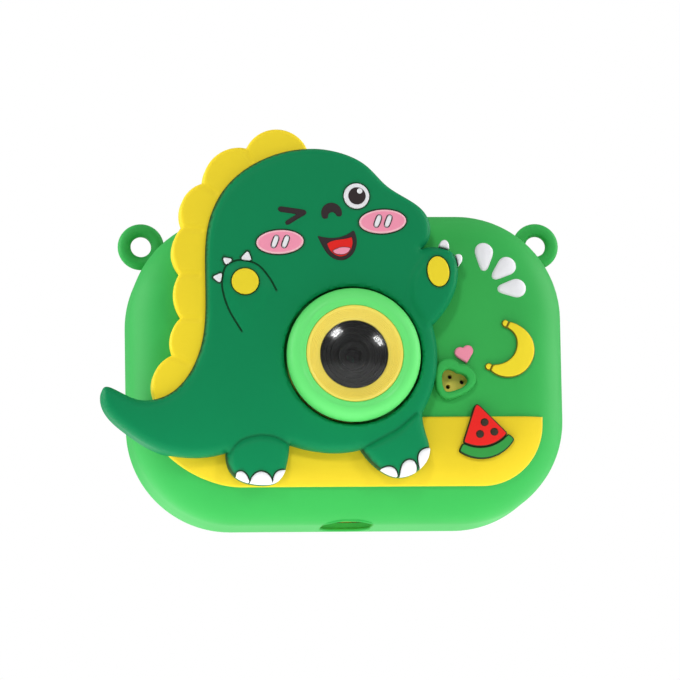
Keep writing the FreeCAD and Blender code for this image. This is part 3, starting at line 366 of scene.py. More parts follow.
def panel_face(name):
    """A dark display panel with its fine rows of cells."""
    look = Finish(name, IOR=1.5)
    rows = look.node("ShaderNodeTexWave", {"bands_direction": "Z"},
                     {"Vector": look.place, "Scale": 4000.0, "Distortion": 0.0})
    cell = look.number(rows.outputs["Fac"])
    look.feed(Base_Color=look.blend(cell, (0.010, 0.012, 0.016), (0.020, 0.023, 0.030)),
              Roughness=0.2 + cell * 0.1)
    return look.material


def board_finish(name):
    """Green solder mask over copper tracks."""
    look = Finish(name, IOR=1.5)
    grid = look.node("ShaderNodeTexBrick", inputs={"Vector": look.place, "Scale": 420.0, "Mortar Size": 0.06})
    track = look.number(grid.outputs["Fac"])
    speck = look.noise(0.9, 3.0)
    look.feed(Base_Color=look.blend(track, (0.010, 0.16, 0.05), (0.03, 0.30, 0.10)),
              Roughness=0.28 + speck * 0.25)
    look.bump(track + speck * 0.3, 0.03)
    return look.material


def film(name):
    """Amber flexible circuit film with lighter traces."""
    look = Finish(name, IOR=1.5)
    lines = look.node("ShaderNodeTexWave", {"bands_direction": "X"},
                      {"Vector": look.place, "Scale": 700.0, "Distortion": 0.0})
    trace = look.number(lines.outputs["Fac"])
    look.feed(Base_Color=look.blend(trace, (0.42, 0.19, 0.03), (0.62, 0.33, 0.08)),
              Roughness=0.3 + trace * 0.1)
    return look.material


def foil(name):
    """The crinkled foil of a pouch cell."""
    look = Finish(name, IOR=1.5)
    crinkle = look.node("ShaderNodeTexVoronoi", {"feature": "F1"}, {"Vector": look.place, "Scale": 500.0})
    fold = look.number(crinkle.outputs["Distance"])
    look.feed(Base_Color=look.blend(fold, (0.62, 0.62, 0.64), (0.45, 0.45, 0.48)), Metallic=0.9 + fold * 0.1,
              Roughness=0.32 + fold * 0.15)
    look.bump(fold, 0.05)
    return look.material


def lead_skin(name):
    """Red insulated lead."""
    look = Finish(name, IOR=1.45)
    skin = look.noise(0.4, 2.0)
    look.feed(Base_Color=look.blend(skin, (0.55, 0.02, 0.02), (0.42, 0.012, 0.012)),
              Roughness=0.4 + skin * 0.15)
    return look.material


def speaker_cone(name):
    """The pressed paper cone of a speaker, ribbed in rings about its own middle."""
    look = Finish(name, IOR=1.4)
    low, high = span("speaker")
    middle = (low + high) / 2 * MM
    centred = look.node("ShaderNodeMapping", inputs={"Vector": look.place, "Location": tuple(-middle)})
    rings = look.node("ShaderNodeTexWave", {"wave_type": "RINGS", "rings_direction": "Y"},
                      {"Vector": centred.outputs[0], "Scale": 300.0})
    rib = look.number(rings.outputs["Fac"])
    look.feed(Base_Color=look.blend(rib, (0.012, 0.012, 0.013), (0.035, 0.034, 0.033)),
              Roughness=0.55 + rib * 0.2)
    look.bump(rib, 0.08)
    return look.material


# ---------------------------------------------------------------- outlines
def welded(node):
    """A CAD node's mesh as a working copy, with its doubled points merged."""
    shape = bmesh.new()
    shape.from_mesh(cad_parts[node].data)
    bmesh.ops.remove_doubles(shape, verts=shape.verts, dist=0.001 * MM)
    shape.normal_update()
    return shape


def front_loops(node, ahead_of=math.inf):
    """The borders of a CAD node's front faces that lie ahead of a depth, as closed loops of (x, z)."""
    shape = welded(node)
    front = {face for face in shape.faces
             if face.normal.y < -0.25 and max(corner.co.y for corner in face.verts) < ahead_of * MM}
    after = {}
    for edge in shape.edges:
        if sum(face in front for face in edge.link_faces) == 1:
            first, second = edge.verts
            after.setdefault(first, []).append(second)
            after.setdefault(second, []).append(first)
    loops = []
    while after:
        start = next(iter(after))
        loop = [start]
        while True:
            here = loop[-1]
            onward = after.get(here)
            if not onward:
                break
            there = onward.pop()
            after[there].remove(here)
            if not onward:
                after.pop(here)
            if there is start:
                break
            loop.append(there)
        after = {point: links for point, links in after.items() if links}
        if len(loop) > 2:
            loops.append(np.array([(point.co.x / MM, point.co.z / MM) for point in loop]))
    shape.free()
    return loops


def port_edge():
    """The edge of the port window on the outside of the cover, as one closed line in space."""
    shape = welded("case_cover")
    reach = span("usb_socket")[1][0] + 4
    under = {face for face in shape.faces if face.normal.z < -0.3 and face.normal.z < -abs(face.normal.x)
             and max(corner.co.z for corner in face.verts) < 1.9 * MM}
    after = {}
    for edge in shape.edges:
        near = all(abs(corner.co.x) < reach * MM and -9 * MM < corner.co.y < 11 * MM for corner in edge.verts)
        if near and sum(face in under for face in edge.link_faces) == 1:
            for first, second in (edge.verts, reversed(edge.verts)):
                after.setdefault(first, []).append(second)
    start = next(iter(after))
    line = [start]
    while len(line) <= len(after):
        onward = [point for point in after[line[-1]] if point not in line[-2:]]
        if not onward or onward[0] is start:
            break
        line.append(onward[0])
    points = np.array([tuple(point.co / MM) for point in line])
    shape.free()
    return points


# How often what lies between two corners is smoothed, and how many points are compared at a time.
SMOOTHINGS = 4
CHUNK = 2048


def even(line, step, closed=True, corner=28, soften=0):
    """A line with evenly spaced points: turns sharper than corner degrees stay, and the rest is smoothed."""
    line = np.asarray(line, float)
    if closed:
        line = line[np.linalg.norm(line - np.roll(line, 1, axis=0), axis=1) > 1e-4]
        before, after = line - np.roll(line, 1, axis=0), np.roll(line, -1, axis=0) - line
        turn = np.degrees(np.arctan2(before[:, 0] * after[:, 1] - before[:, 1] * after[:, 0],
                                     (before * after).sum(axis=1)))
        marks = [index for index in range(len(line)) if abs(turn[index]) > corner]
        if marks:
            line = np.roll(line, -marks[0], axis=0)
            marks = [index - marks[0] for index in marks]
        line = np.vstack([line, line[:1]])
        marks = (marks or [0]) + [len(line) - 1]
        smooth_start = len(marks) == 2 and abs(turn).max() <= corner
    else:
        marks = [0, len(line) - 1]
        smooth_start = False
    points = []
    for first, last in zip(marks, marks[1:]):
        stretch = line[first:last + 1]
        along = np.concatenate([[0], np.cumsum(np.linalg.norm(np.diff(stretch, axis=0), axis=1))])
        count = max(int(round(along[-1] / step)), 1)
        at = np.linspace(0, along[-1], count + 1)
        part = np.column_stack([np.interp(at, along, stretch[:, axis]) for axis in (0, 1)])
        for _ in range(SMOOTHINGS):
            part[1:-1] = part[1:-1] * 0.5 + (part[:-2] + part[2:]) * 0.25
        points.append(part[:-1])
    points = np.vstack(points + ([] if closed else [line[-1:]]))
    rounds = soften + (SMOOTHINGS if smooth_start else 0)
    for _ in range(rounds if closed else 0):
        points = points * 0.5 + (np.roll(points, 1, axis=0) + np.roll(points, -1, axis=0)) * 0.25
    return points


def through(*points, closed=False, per_span=8):
    """A smooth curve through a few points."""
    points = np.array(points, float)
    count = len(points)
    result = []
    for index in range(count if closed else count - 1):
        around = [index + shift for shift in (-1, 0, 1, 2)]
        around = [points[at % count] if closed else points[min(max(at, 0), count - 1)] for at in around]
        for share in np.linspace(0, 1, per_span, endpoint=False):
            weights = (((2 - share) * share - 1) * share / 2, ((3 * share - 5) * share * share + 2) / 2,
                       ((4 - 3 * share) * share + 1) * share / 2, (share - 1) * share * share / 2)
            result.append(sum(weight * point for weight, point in zip(weights, around)))
    if not closed:
        result.append(points[-1])
    return np.array(result)


def circle(x, z, radius, count):
    """A closed circle of count points."""
    angle = np.linspace(0, 2 * math.pi, count, endpoint=False)
    return np.column_stack([x + radius * np.cos(angle), z + radius * np.sin(angle)])


def segments(lines):
    """Start and end points of every segment of some (line, closed) pairs."""
    starts, ends = [], []
    for line, closed in lines:
        starts.append(line if closed else line[:-1])
        ends.append(np.roll(line, -1, axis=0) if closed else line[1:])
    return np.vstack(starts), np.vstack(ends)


def distance(points, lines):
    """Distance from each point to the nearest of the lines."""
    start, end = segments(lines)
    run = end - start
    squared = np.maximum((run * run).sum(axis=1), 1e-12)
    nearest = np.empty(len(points))
    for first in range(0, len(points), CHUNK):
        chunk = points[first:first + CHUNK, None, :] - start[None]
        share = np.clip((chunk * run[None]).sum(axis=2) / squared, 0, 1)
        gap = chunk - share[..., None] * run[None]
        nearest[first:first + CHUNK] = np.sqrt((gap * gap).sum(axis=2).min(axis=1))
    return nearest


def inside(points, loops):
    """True for points within the loops, where a loop within a loop is a hole."""
    start, end = segments([(loop, True) for loop in loops])
    within = np.zeros(len(points), bool)
    rise = end[:, 1] - start[:, 1]
    rise[np.abs(rise) < 1e-12] = 1e-12
    for first in range(0, len(points), CHUNK):
        x = points[first:first + CHUNK, 0, None]
        z = points[first:first + CHUNK, 1, None]
        straddles = (start[None, :, 1] > z) != (end[None, :, 1] > z)
        crossing = (end[:, 0] - start[:, 0])[None] * (z - start[None, :, 1]) / rise[None] + start[None, :, 0]
        within[first:first + CHUNK] = (straddles & (x < crossing)).sum(axis=1) % 2 == 1
    return within


def offset_rows(line, closed, gaps):
    """Points beside a line, at each of the gaps to its left."""
    ahead = np.roll(line, -1, axis=0) if closed else np.vstack([line[1:], line[-1:] * 2 - line[-2:-1]])
    behind = np.roll(line, 1, axis=0) if closed else np.vstack([line[:1] * 2 - line[1:2], line[:-1]])
    along = ahead - behind
    along /= np.maximum(np.linalg.norm(along, axis=1), 1e-9)[:, None]
    left = np.column_stack([-along[:, 1], along[:, 0]])
    return [line + gap * left for gap in gaps]


# ---------------------------------------------------------------- surfaces
def cover_depth(points):
    """Depth of the cover's outer face: flat, with a round edge that follows the rounded outline."""
    size = sizes()
    half = np.array([size.width, size.height]) / MM / 2
    radius, curve = size.corner / MM, size.front_round / MM
    beyond = np.abs(points - np.array([0, half[1]])) - (half - radius)
    outward = np.linalg.norm(np.maximum(beyond, 0), axis=1) + np.minimum(beyond.max(axis=1), 0) - radius
    within = np.clip(-outward, 0, curve)
    return size.front / MM + curve - np.sqrt(np.maximum(curve ** 2 - (curve - within) ** 2, 0))


def edge_drop(gap, radius):
    """How far a round edge falls back at a distance from the border."""
    short = np.clip(radius - gap, 0, radius)
    return radius - np.sqrt(np.maximum(radius ** 2 - short ** 2, 0))


def ease(value):
    """A smooth step from 0 to 1."""
    value = np.clip(value, 0, 1)
    return value * value * (3 - 2 * value)


def level(depth):
    """A surface at one depth."""
    return lambda spots: np.full(len(spots), depth)


def moved(surface, by):
    """A surface moved back, or forwards where by is negative."""
    return lambda spots: surface(spots) + by


def art_back(spots):
    """The back of the dinosaur and its crest: just within the cover, and flat where they overhang it."""
    return np.minimum(cover_depth(spots), DINO_BACK) + 0.1


class DinoFace:
    """The dinosaur's front: flat in the middle, soft at its border, swelling at the arms and feet."""

    def __init__(self):
        size = sizes()
        loops = sorted((even(loop, 0.4) for loop in front_loops("dino_body")), key=len, reverse=True)
        self.outline, self.hole = loops[0], loops[1]
        self.edge = size.dino_edge / MM
        self.rise = size.swell / MM
        self.swells = [(through(*points, closed=True), height, blend) for points, height, blend in SWELLS]

    def depth(self, points):
        """Depth of the front at some points."""
        gap = distance(points, [(self.outline, True)])
        gap = np.where(inside(points, [self.outline]), gap, 0)
        hole_gap = distance(points, [(self.hole, True)])
        depth = DINO_FRONT + edge_drop(gap, self.edge) + 0.35 * np.exp(-gap / 3.5) + edge_drop(hole_gap, 0.5)
        for loop, height, blend in self.swells:
            inward = distance(points, [(loop, True)]) * inside(points, [loop])
            depth -= self.rise * height * ease(inward / blend)
        return depth


# Swellings of the dinosaur: a closed curve, its share of the swelling, and how wide its slope is. They
# are the left arm, the right arm, the left foot and the right foot.
SWELLS = (
    (((-25.5, 42.7), (-28.4, 48.0), (-29.8, 53.0), (-28.6, 57.7), (-24.4, 59.0), (-20.7, 57.0),
      (-18.2, 52.5), (-21.0, 47.0)), 0.7, 2.6),
    (((19.2, 61.6), (15.4, 59.0), (13.0, 54.8), (12.7, 50.8), (13.8, 47.2), (17.5, 43.0), (24.0, 44.0),
      (30.0, 54.0), (27.0, 62.0)), 1.0, 2.0),
    (((-28.6, 14.2), (-26.3, 17.5), (-20.9, 18.9), (-16.1, 17.6), (-13.8, 14.0), (-15.0, 4.0),
      (-29.0, 4.0)), 0.9, 1.6),
    (((0.8, 15.0), (4.5, 17.2), (9.7, 20.0), (14.5, 24.0), (21.0, 22.0), (20.0, 4.0), (2.0, 5.0)), 0.9, 1.6),
)
# Left, right, lowest and highest limit of the stretch of outline with painted shade beside each foot, where
# the foot's wall is in shadow.
SHADED_FOOT_EDGES = ((-29.5, -25.6, 8.2, 14.9), (0.6, 6.2, 9.6, 15.6))
# Lines cut into the dinosaur, darkened with painted shade.
LEFT_ARM_LINE = ((-25.5, 42.7), (-28.2, 47.4), (-29.6, 51.9), (-29.6, 55.2), (-28.5, 57.8), (-25.4, 58.9),
                 (-21.6, 57.8), (-19.0, 54.9), (-17.4, 52.0))
LEFT_FOOT_ARC = ((-28.4, 14.9), (-26.4, 17.3), (-23.6, 18.5), (-20.7, 18.8), (-17.9, 18.3), (-15.0, 16.7))
RIGHT_FOOT_ARC = ((1.5, 15.5), (6.9, 18.5), (9.7, 20.0), (12.2, 22.0), (14.0, 23.6))


# ---------------------------------------------------------------- meshes
def piece(name, points, faces, material, body="camera", replaces=(), smooth=40, painted=None):
    """A finished piece from points in millimetres: it rides on a body and may stand for CAD nodes."""
    mesh = bpy.data.meshes.new(name)
    mesh.from_pydata((np.asarray(points, float) * MM).tolist(), [], [tuple(face) for face in faces])
    mesh.validate()
    for title, values in (painted or {}).items():
        mesh.attributes.new(title, "FLOAT", "POINT").data.foreach_set("value", np.asarray(values, np.float32))
    return place_mesh(mesh, name, material, body, replaces, smooth)


def place_mesh(mesh, name, material, body, replaces=(), smooth=40):
    """An object from a mesh, with its material, the body that it rides on and the CAD nodes it stands for."""
    mesh.materials.clear()
    mesh.materials.append(material)
    mesh.polygons.foreach_set("material_index", [0] * len(mesh.polygons))
    mesh.polygons.foreach_set("use_smooth", [True] * len(mesh.polygons))
    mesh.set_sharp_from_angle(angle=math.radians(smooth))
    thing = bpy.data.objects.new(name, mesh)
    bpy.context.scene.collection.objects.link(thing)
    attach(thing, body)
    if replaces:
        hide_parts(*replaces)
    return thing


def triangulate(points, loops_at):
    """Triangles over the points that lie within the border loops, given as index ranges."""
    borders = [(first + step, first + (step + 1) % count)
               for first, count in loops_at for step in range(count)]
    made = delaunay_2d_cdt([Vector(point) for point in points], borders, [], 0, 1e-6)
    spots = np.array([(point.x, point.y) for point in made[0]])
    corners = np.array([tuple(face) for face in made[2]])
    loops = [np.asarray(points[first:first + count]) for first, count in loops_at]
    keep = inside(spots[corners].mean(axis=1), loops)
    corners = corners[keep]
    a, b, c = (spots[corners[:, index]] for index in range(3))
    area = (b[:, 0] - a[:, 0]) * (c[:, 1] - a[:, 1]) - (b[:, 1] - a[:, 1]) * (c[:, 0] - a[:, 0])
    corners[area < 0] = corners[area < 0][:, ::-1]
    return spots, corners[np.abs(area) > 1e-9]


def relief(name, loops, front, back, material, replaces=(), edge=0.45, step=0.5,
           soft_border=None, lines=(), grooves=(), rim_band=0.0, back_edge=0.0, inks=None):
    """A moulded plate: closed loops, a front and a back surface, a round edge, and lines cut into it.

    lines are (line, closed, half width, depth) and are dark, or as dark as a fifth value from 0 to 1 says;
    grooves are the same and keep the plate's colour. The rim band is a band of the line colour, of the given
    width, at the border, the shade function gives painted shade at any point, and soft_border holds the lines
    whose edge is round, if not all are.
    """
    border = [(loop, True) for loop in loops]
    points, loops_at = [], []
    for loop in loops:
        loops_at.append((sum(len(part) for part in points), len(loop)))
        points.append(loop)
    cuts = [(line, closed, half, depth, *(dark or [1.0])) for line, closed, half, depth, *dark in lines]
    cuts += [(line, closed, half, depth, 0.0) for line, closed, half, depth in grooves]
    for line, closed, half, _, _ in cuts:
        track = even(line, max(half * 1.6, 0.25), closed)
        rows = np.vstack(offset_rows(track, closed, (0, half, -half, 2 * half, -2 * half)))
        points.append(rows)
    fixed = np.vstack(points[len(loops):]) if cuts else np.empty((0, 2))
    if len(fixed):
        fixed = fixed[inside(fixed, loops) & (distance(fixed, border) > 0.12)]
    gaps = sorted({round(edge * share, 3) for share in (0.035, 0.135, 0.3, 0.5, 0.74, 1.0)}
                  | ({round(rim_band, 3), round(rim_band * 1.6, 3)} if rim_band else set()))
    gaps = [gap for index, gap in enumerate(gaps) if index == 0 or gap - gaps[index - 1] > 0.025]
    rings = []
    for gap in gaps:
        for loop in loops:
            for row in offset_rows(loop, True, (gap, -gap)):
                row = row[inside(row, loops)]
                if len(row):
                    rings.append(row[distance(row, border) > gap * 0.985])
    rings = np.vstack(rings) if rings else np.empty((0, 2))
    low, high = np.vstack(loops).min(axis=0), np.vstack(loops).max(axis=0)
    across = np.arange(low[0], high[0], step)
    up = np.arange(low[1], high[1], step * 0.866)
    grid = np.array([(x + (step / 2 if row % 2 else 0), z) for row, z in enumerate(up) for x in across])
    grid = grid[inside(grid, loops)]
    if len(grid):
        grid = grid[distance(grid, border) > gaps[-1] + 0.4 * step]
    chosen = [np.vstack(points[:len(loops)])]
    near = list(fixed)
    if len(fixed):
        chosen.append(thinned(fixed, 0.08))
        near = chosen[-1]
    for group, clear in ((rings, 0.14), (grid, 0.4 * step)):
        if len(group) and len(near):
            tree = KDTree(len(near))
            for index, spot in enumerate(near):
                tree.insert((spot[0], spot[1], 0), index)
            tree.balance()
            group = np.array([spot for spot in group if tree.find((spot[0], spot[1], 0))[2] > clear])
        if len(group):
            chosen.append(thinned(group, 0.05))
    spots, corners = triangulate(np.vstack(chosen), loops_at)
    gap = distance(spots, border)
    gap[gap < 1e-4] = 0
    round_gap = gap if soft_border is None else distance(spots, soft_border)
    face = front(spots) + edge_drop(round_gap, edge)
    ink = np.zeros(len(spots))
    for line, closed, half, depth, dark in cuts:
        off = distance(spots, [(np.asarray(line), closed)])
        face += depth * np.clip(1 - (off / (2 * half)) ** 2, 0, 1) ** 2
        ink = np.maximum(ink, dark * np.clip(2 - off / half, 0, 1))
    # The rim band in the line colour: painted shade round the banana, a painted highlight round the cheeks,
    # and a dark outline round the melon, cheek bars and tongue.
    if rim_band:
        ink = np.maximum(ink, np.clip(1 - (gap - rim_band) / (0.6 * rim_band), 0, 1))
    if inks is not None:
        ink = np.maximum(ink, inks(spots))
    rear = back(spots) - edge_drop(gap, back_edge) if back_edge else back(spots)
    face = np.minimum(face, rear - 0.02)
    return closed_plate(name, spots, corners, face, rear, ink, material, replaces,
                        dark_walls=rim_band > 0)


def thinned(points, clear):
    """The points without those that share a small cell with an earlier one."""
    _, first = np.unique(np.round(points / clear).astype(int), axis=0, return_index=True)
    return points[np.sort(first)]


def closed_plate(name, spots, corners, face, rear, ink, material, replaces=(), body="camera",
                 dark_walls=True):
    """Front and rear surfaces over the same triangles, joined by a wall round every border.

    The share of the line colour at each point of the front stands for print, painted shade and painted
    highlight, and dark_walls carries it to the foot of the walls.
    """
    count = len(spots)
    front_points = np.column_stack([spots[:, 0], face, spots[:, 1]])
    rear_points = np.column_stack([spots[:, 0], rear, spots[:, 1]])
    directed = {(int(a), int(b)) for face_at in corners for a, b in zip(face_at, np.roll(face_at, -1))}
    walls = [(b, a, a + count, b + count) for a, b in directed if (b, a) not in directed]
    faces = [tuple(int(index) for index in at) for at in corners]
    faces += [tuple(int(index) + count for index in at[::-1]) for at in corners]
    used = sorted({index for at in faces for index in at} | {index for at in walls for index in at})
    renumber = {old: new for new, old in enumerate(used)}
    points = np.vstack([front_points, rear_points])[used]
    rim = {index for wall in walls for index in wall[:2]}
    behind = np.array([ink[index] if dark_walls and index in rim else 0.0 for index in range(count)])
    painted = np.concatenate([ink, behind])[used]
    faces = [tuple(renumber[index] for index in at) for at in faces + walls]
    return piece(name, points, faces, material, body, replaces, painted={"ink": painted})


def lathe(name, profile, material, replaces=(), body="camera", count=128, x=None, z=None,
          smooth=35, axis="y"):
    """A turned piece from a closed profile of (radius, depth), about a line that runs front to back or up."""
    x = LENS_X if x is None else x
    z = LENS_Z if z is None else z
    points, faces, rows = [], [], []
    for radius, depth in profile:
        turns = 1 if radius < 1e-6 else count
        rows.append((len(points), turns))
        for index in range(turns):
            angle = 2 * math.pi * index / count
            across, up = radius * math.cos(angle), radius * math.sin(angle)
            points.append((x + across, depth, z + up) if axis == "y" else (x + across, z + up, depth))
    pairs = list(zip(rows, rows[1:] + rows[:1]))
    for (first, turns), (second, others) in pairs:
        if turns == 1 and others == 1:
            continue
        for index in range(count):
            after = (index + 1) % count
            if turns == 1:
                faces.append((first, second + after, second + index))
            elif others == 1:
                faces.append((first + index, first + after, second))
            else:
                faces.append((first + index, first + after, second + after, second + index))
    mesh = bpy.data.meshes.new(name)
    mesh.from_pydata((np.array(points) * MM).tolist(), [], faces)
    shape = bmesh.new()
    shape.from_mesh(mesh)
    bmesh.ops.recalc_face_normals(shape, faces=shape.faces)
    if shape.calc_volume(signed=True) < 0:
        bmesh.ops.reverse_faces(shape, faces=shape.faces)
    shape.to_mesh(mesh)
    shape.free()
    return place_mesh(mesh, name, material, body, replaces, smooth)


def bow(start, end, bulge, count=10):
    """Points of a profile from start to end that swell sideways by bulge."""
    start, end = np.array(start, float), np.array(end, float)
    side = np.array([-(end - start)[1], (end - start)[0]])
    side /= np.linalg.norm(side)
    return [tuple(start + (end - start) * share + side * bulge * 4 * share * (1 - share))
            for share in np.linspace(0, 1, count)]


def quarter(middle, across, deep, begin, finish_at, count=10):
    """Points of a profile on an ellipse between two angles in degrees."""
    return [(middle[0] + across * math.cos(math.radians(angle)),
             middle[1] + deep * math.sin(math.radians(angle)))
            for angle in np.linspace(begin, finish_at, count)]


def keep_cad(material, *names):
    """Give CAD nodes whose shape is right a better material."""
    for name in names:
        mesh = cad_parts[name].data
        mesh.materials.clear()
        mesh.materials.append(material)


# ---------------------------------------------------------------- geometry node rigs
class Rig:
    """A geometry node tree with named size inputs that ends in realised instances and a material."""

    def __init__(self, name, **inputs):
        self.tree = bpy.data.node_groups.new(name, "GeometryNodeTree")
        self.values = {}
        self.tree.interface.new_socket("Geometry", in_out="INPUT", socket_type="NodeSocketGeometry")
        for title, value in inputs.items():
            kind = {int: "NodeSocketInt", float: "NodeSocketFloat", tuple: "NodeSocketVector"}.get(
                type(value), "NodeSocketObject")
            socket = self.tree.interface.new_socket(title.replace("_", " "), in_out="INPUT", socket_type=kind)
            self.values[title] = (socket.identifier, value)
        self.tree.interface.new_socket("Geometry", in_out="OUTPUT", socket_type="NodeSocketGeometry")
        self.start = self.tree.nodes.new("NodeGroupInput")

    def add(self, kind, settings=None, inputs=None):
        return wire(self.tree, kind, settings, inputs)

    def size(self, title):
        return Number(self.tree, self.start.outputs[title.replace("_", " ")])

    def build(self, name, geometry, material, replaces=(), smooth=35, points=((0, 0, 0),),
              loop=False):
        """Run the tree on some points, or on a closed line of them, and keep its result as a plain mesh."""
        realised = self.add("GeometryNodeRealizeInstances", None, {0: geometry})
        coated = self.add("GeometryNodeSetMaterial", None, {0: realised.outputs[0], "Material": material})
        self.add("NodeGroupOutput", None, {0: coated.outputs[0]})
        seed_mesh = bpy.data.meshes.new(name + "_places")
        count = len(points)
        edges = [(index, (index + 1) % count) for index in range(count)] if loop else []
        seed_mesh.from_pydata([tuple(np.array(point) * MM) for point in points], edges, [])
        holder = bpy.data.objects.new(name + "_rig", seed_mesh)
        bpy.context.scene.collection.objects.link(holder)
        modifier = holder.modifiers.new("rig", "NODES")
        modifier.node_group = self.tree
        for identifier, value in self.values.values():
            modifier[identifier] = value
        holder.update_tag()
        bpy.context.view_layer.update()
        done = holder.evaluated_get(bpy.context.evaluated_depsgraph_get())
        mesh = bpy.data.meshes.new_from_object(done)
        mesh.name = name
        bpy.data.objects.remove(holder)
        if not len(mesh.polygons):
            raise RuntimeError(f"the rig for {name} made nothing")
        return place_mesh(mesh, name, material, "camera", replaces, smooth)


# ---------------------------------------------------------------- operators
class TOY_OT_cover(bpy.types.Operator):
    """Finish the silicone cover and its lanyard eyes, and mould the rim of the heart window"""
    bl_idname = "toy.cover"
    bl_label = "Silicone cover"

    def execute(self, context):
        green = coloured("cover_silicone", "cover")
        keep_cad(green, "case_cover", "lanyard_loops")
        size = sizes()
        ahead = size.front / MM - 0.6
        loops = sorted((even(loop, 0.25) for loop in front_loops("case_cover", ahead)), key=len, reverse=True)
        outer = grown_loop(loops[0], 0.16)
        inner = grown_loop(loops[1], -0.16)
        top = size.rim_rise / MM
        relief("heart_rim", [outer, inner], moved(cover_depth, -top), moved(cover_depth, 0.6), green,
               edge=0.72, step=0.4)
        self.port_lip(green)
        return {"FINISHED"}

    def port_lip(self, green):
        """A soft lip round the port window, swept along the window's edge."""
        points = port_edge() + (0, -0.08, 0.12)
        points[:, 2] = np.maximum(points[:, 2], 0.38)
        rig = Rig("lip_rig", Thickness=0.38 * MM)
        curve = rig.add("GeometryNodeMeshToCurve", None, {0: rig.start.outputs[0]})
        fine = rig.add("GeometryNodeResampleCurve", None, {"Curve": curve.outputs[0], "Count": 160})
        section = rig.add("GeometryNodeCurvePrimitiveCircle", None,
                          {"Resolution": 16, "Radius": rig.size("Thickness")})
        lip = rig.add("GeometryNodeCurveToMesh", None,
                      {"Curve": fine.outputs[0], "Profile Curve": section.outputs[0]})
        rig.build("port_lip", lip.outputs[0], green, points=points, loop=True, smooth=60)


def grown_loop(loop, by):
    """A loop moved outwards, or inwards where by is negative."""
    left, right = offset_rows(loop, True, (by, -by))

    def area(line):
        """Twice the area within a loop."""
        ahead = np.roll(line, -1, axis=0)
        return abs((line[:, 0] * ahead[:, 1] - line[:, 1] * ahead[:, 0]).sum())
    bigger, smaller = (left, right) if area(left) > area(right) else (right, left)
    return bigger if by > 0 else smaller


@functools.cache
def dino_face():
    """The dinosaur's front surface, worked out once."""
    return DinoFace()


MARK_NODES = ("cheek_patches", "palm_pads", "eye_white", "foot_claws", "hand_claws")


class TOY_OT_dinosaur(bpy.types.Operator):
    """Mould the dinosaur's body with its soft edge, arms, feet and lines, with painted shade in the lines and
    along its shaded edges
    """
    bl_idname = "toy.dinosaur"
    bl_label = "Dinosaur body"

    def execute(self, context):
        green = coloured("dino_silicone", "body", 0.46, None, 0.13)
        face = dino_face()
        half = sizes().line / MM
        # The cut lines are darkened with painted shade: the arm line, the soft arcs over the feet, and a moat
        # round each mark.
        lines = [(through(*LEFT_ARM_LINE), False, half, 0.3, 0.85),
                 (through(*LEFT_FOOT_ARC), False, half * 1.5, 0.25, 0.2),
                 (through(*RIGHT_FOOT_ARC), False, half * 1.5, 0.25, 0.15)]
        for node in MARK_NODES:
            for loop in front_loops(node):
                smooth = round_claw(loop) if node == "hand_claws" and len(loop) < 5 else even(loop, 0.3)
                lines.append((grown_loop(smooth, 0.1), True, half, 0.2))

        # Painted shade along the body's border beside the crest and left of each foot, where its wall is in
        # shadow.
        shaded_edges = self.shaded_edges(face.outline)

        def shade(spots):
            """Painted shade close to the shaded edges."""
            return np.clip(1.7 - distance(spots, shaded_edges) / 0.22, 0, 1)
        relief("dinosaur_body", [face.outline, face.hole], face.depth, art_back, green,
               ("dino_body",), edge=0.02, step=sizes().mesh_step / MM, lines=lines, inks=shade)
        return {"FINISHED"}

    def shaded_edges(self, outline):
        """The parts of the outline that get painted shade, where the body's wall is in shadow: beside the
        crest, and left of each foot.
        """
        crest = max(front_loops("dino_crest"), key=len)
        x, z = outline[:, 0], outline[:, 1]
        chosen = [distance(outline, [(crest, True)]) < 0.35]
        chosen += [(x > left) & (x < right) & (z > low) & (z < high)
                   for left, right, low, high in SHADED_FOOT_EDGES]
        return [(ordered_run(outline, mask), False) for mask in chosen]


class TOY_OT_crest(bpy.types.Operator):
    """Mould the yellow scalloped crest with a shallow crease at each valley"""
    bl_idname = "toy.crest"
    bl_label = "Crest"

    def execute(self, context):
        yellow = coloured("crest_silicone", "crest", line=(0.30, 0.20, 0.02))
        loop = max((even(loop, 0.4) for loop in front_loops("dino_crest")), key=len)
        body = dino_face().outline
        off_body = distance(loop, [(body, True)])
        free = off_body > 0.25
        if free.sum() < 10:
            raise RuntimeError("the crest's free border was not found")
        soft = ordered_run(loop, free)
        ahead, behind = np.roll(soft, -2, axis=0) - soft, soft - np.roll(soft, 2, axis=0)
        turn = behind[:, 0] * ahead[:, 1] - behind[:, 1] * ahead[:, 0]
        sign = np.sign(np.median(turn[2:-2]))
        grooves = []
        last = None
        for index in range(3, len(soft) - 3):
            sharp = -sign * turn[index]
            if sharp > 0.22 and (last is None or np.linalg.norm(soft[index] - last) > 4):
                valley = soft[index]
                towards = body[np.argmin(np.linalg.norm(body - valley, axis=1))]
                grooves.append((np.array([valley, valley + (towards - valley) * 0.75]), False, 0.45, 0.28))
                last = valley
        relief("crest", [loop], level(CREST_FRONT), art_back, yellow, ("dino_crest",),
               edge=sizes().crest_edge / MM, step=0.6, soft_border=[(soft, False)], grooves=grooves,
               back_edge=0.5)
        return {"FINISHED"}


def ordered_run(loop, chosen):
    """The longest unbroken run of chosen points of a closed loop."""
    count = len(loop)
    start = next((index for index in range(count) if chosen[index] and not chosen[index - 1]), 0)
    best, run = [], []
    for step in range(count):
        index = (start + step) % count
        if chosen[index]:
            run.append(index)
        else:
            best, run = max(best, run, key=len), []
    best = max(best, run, key=len)
    return loop[best]


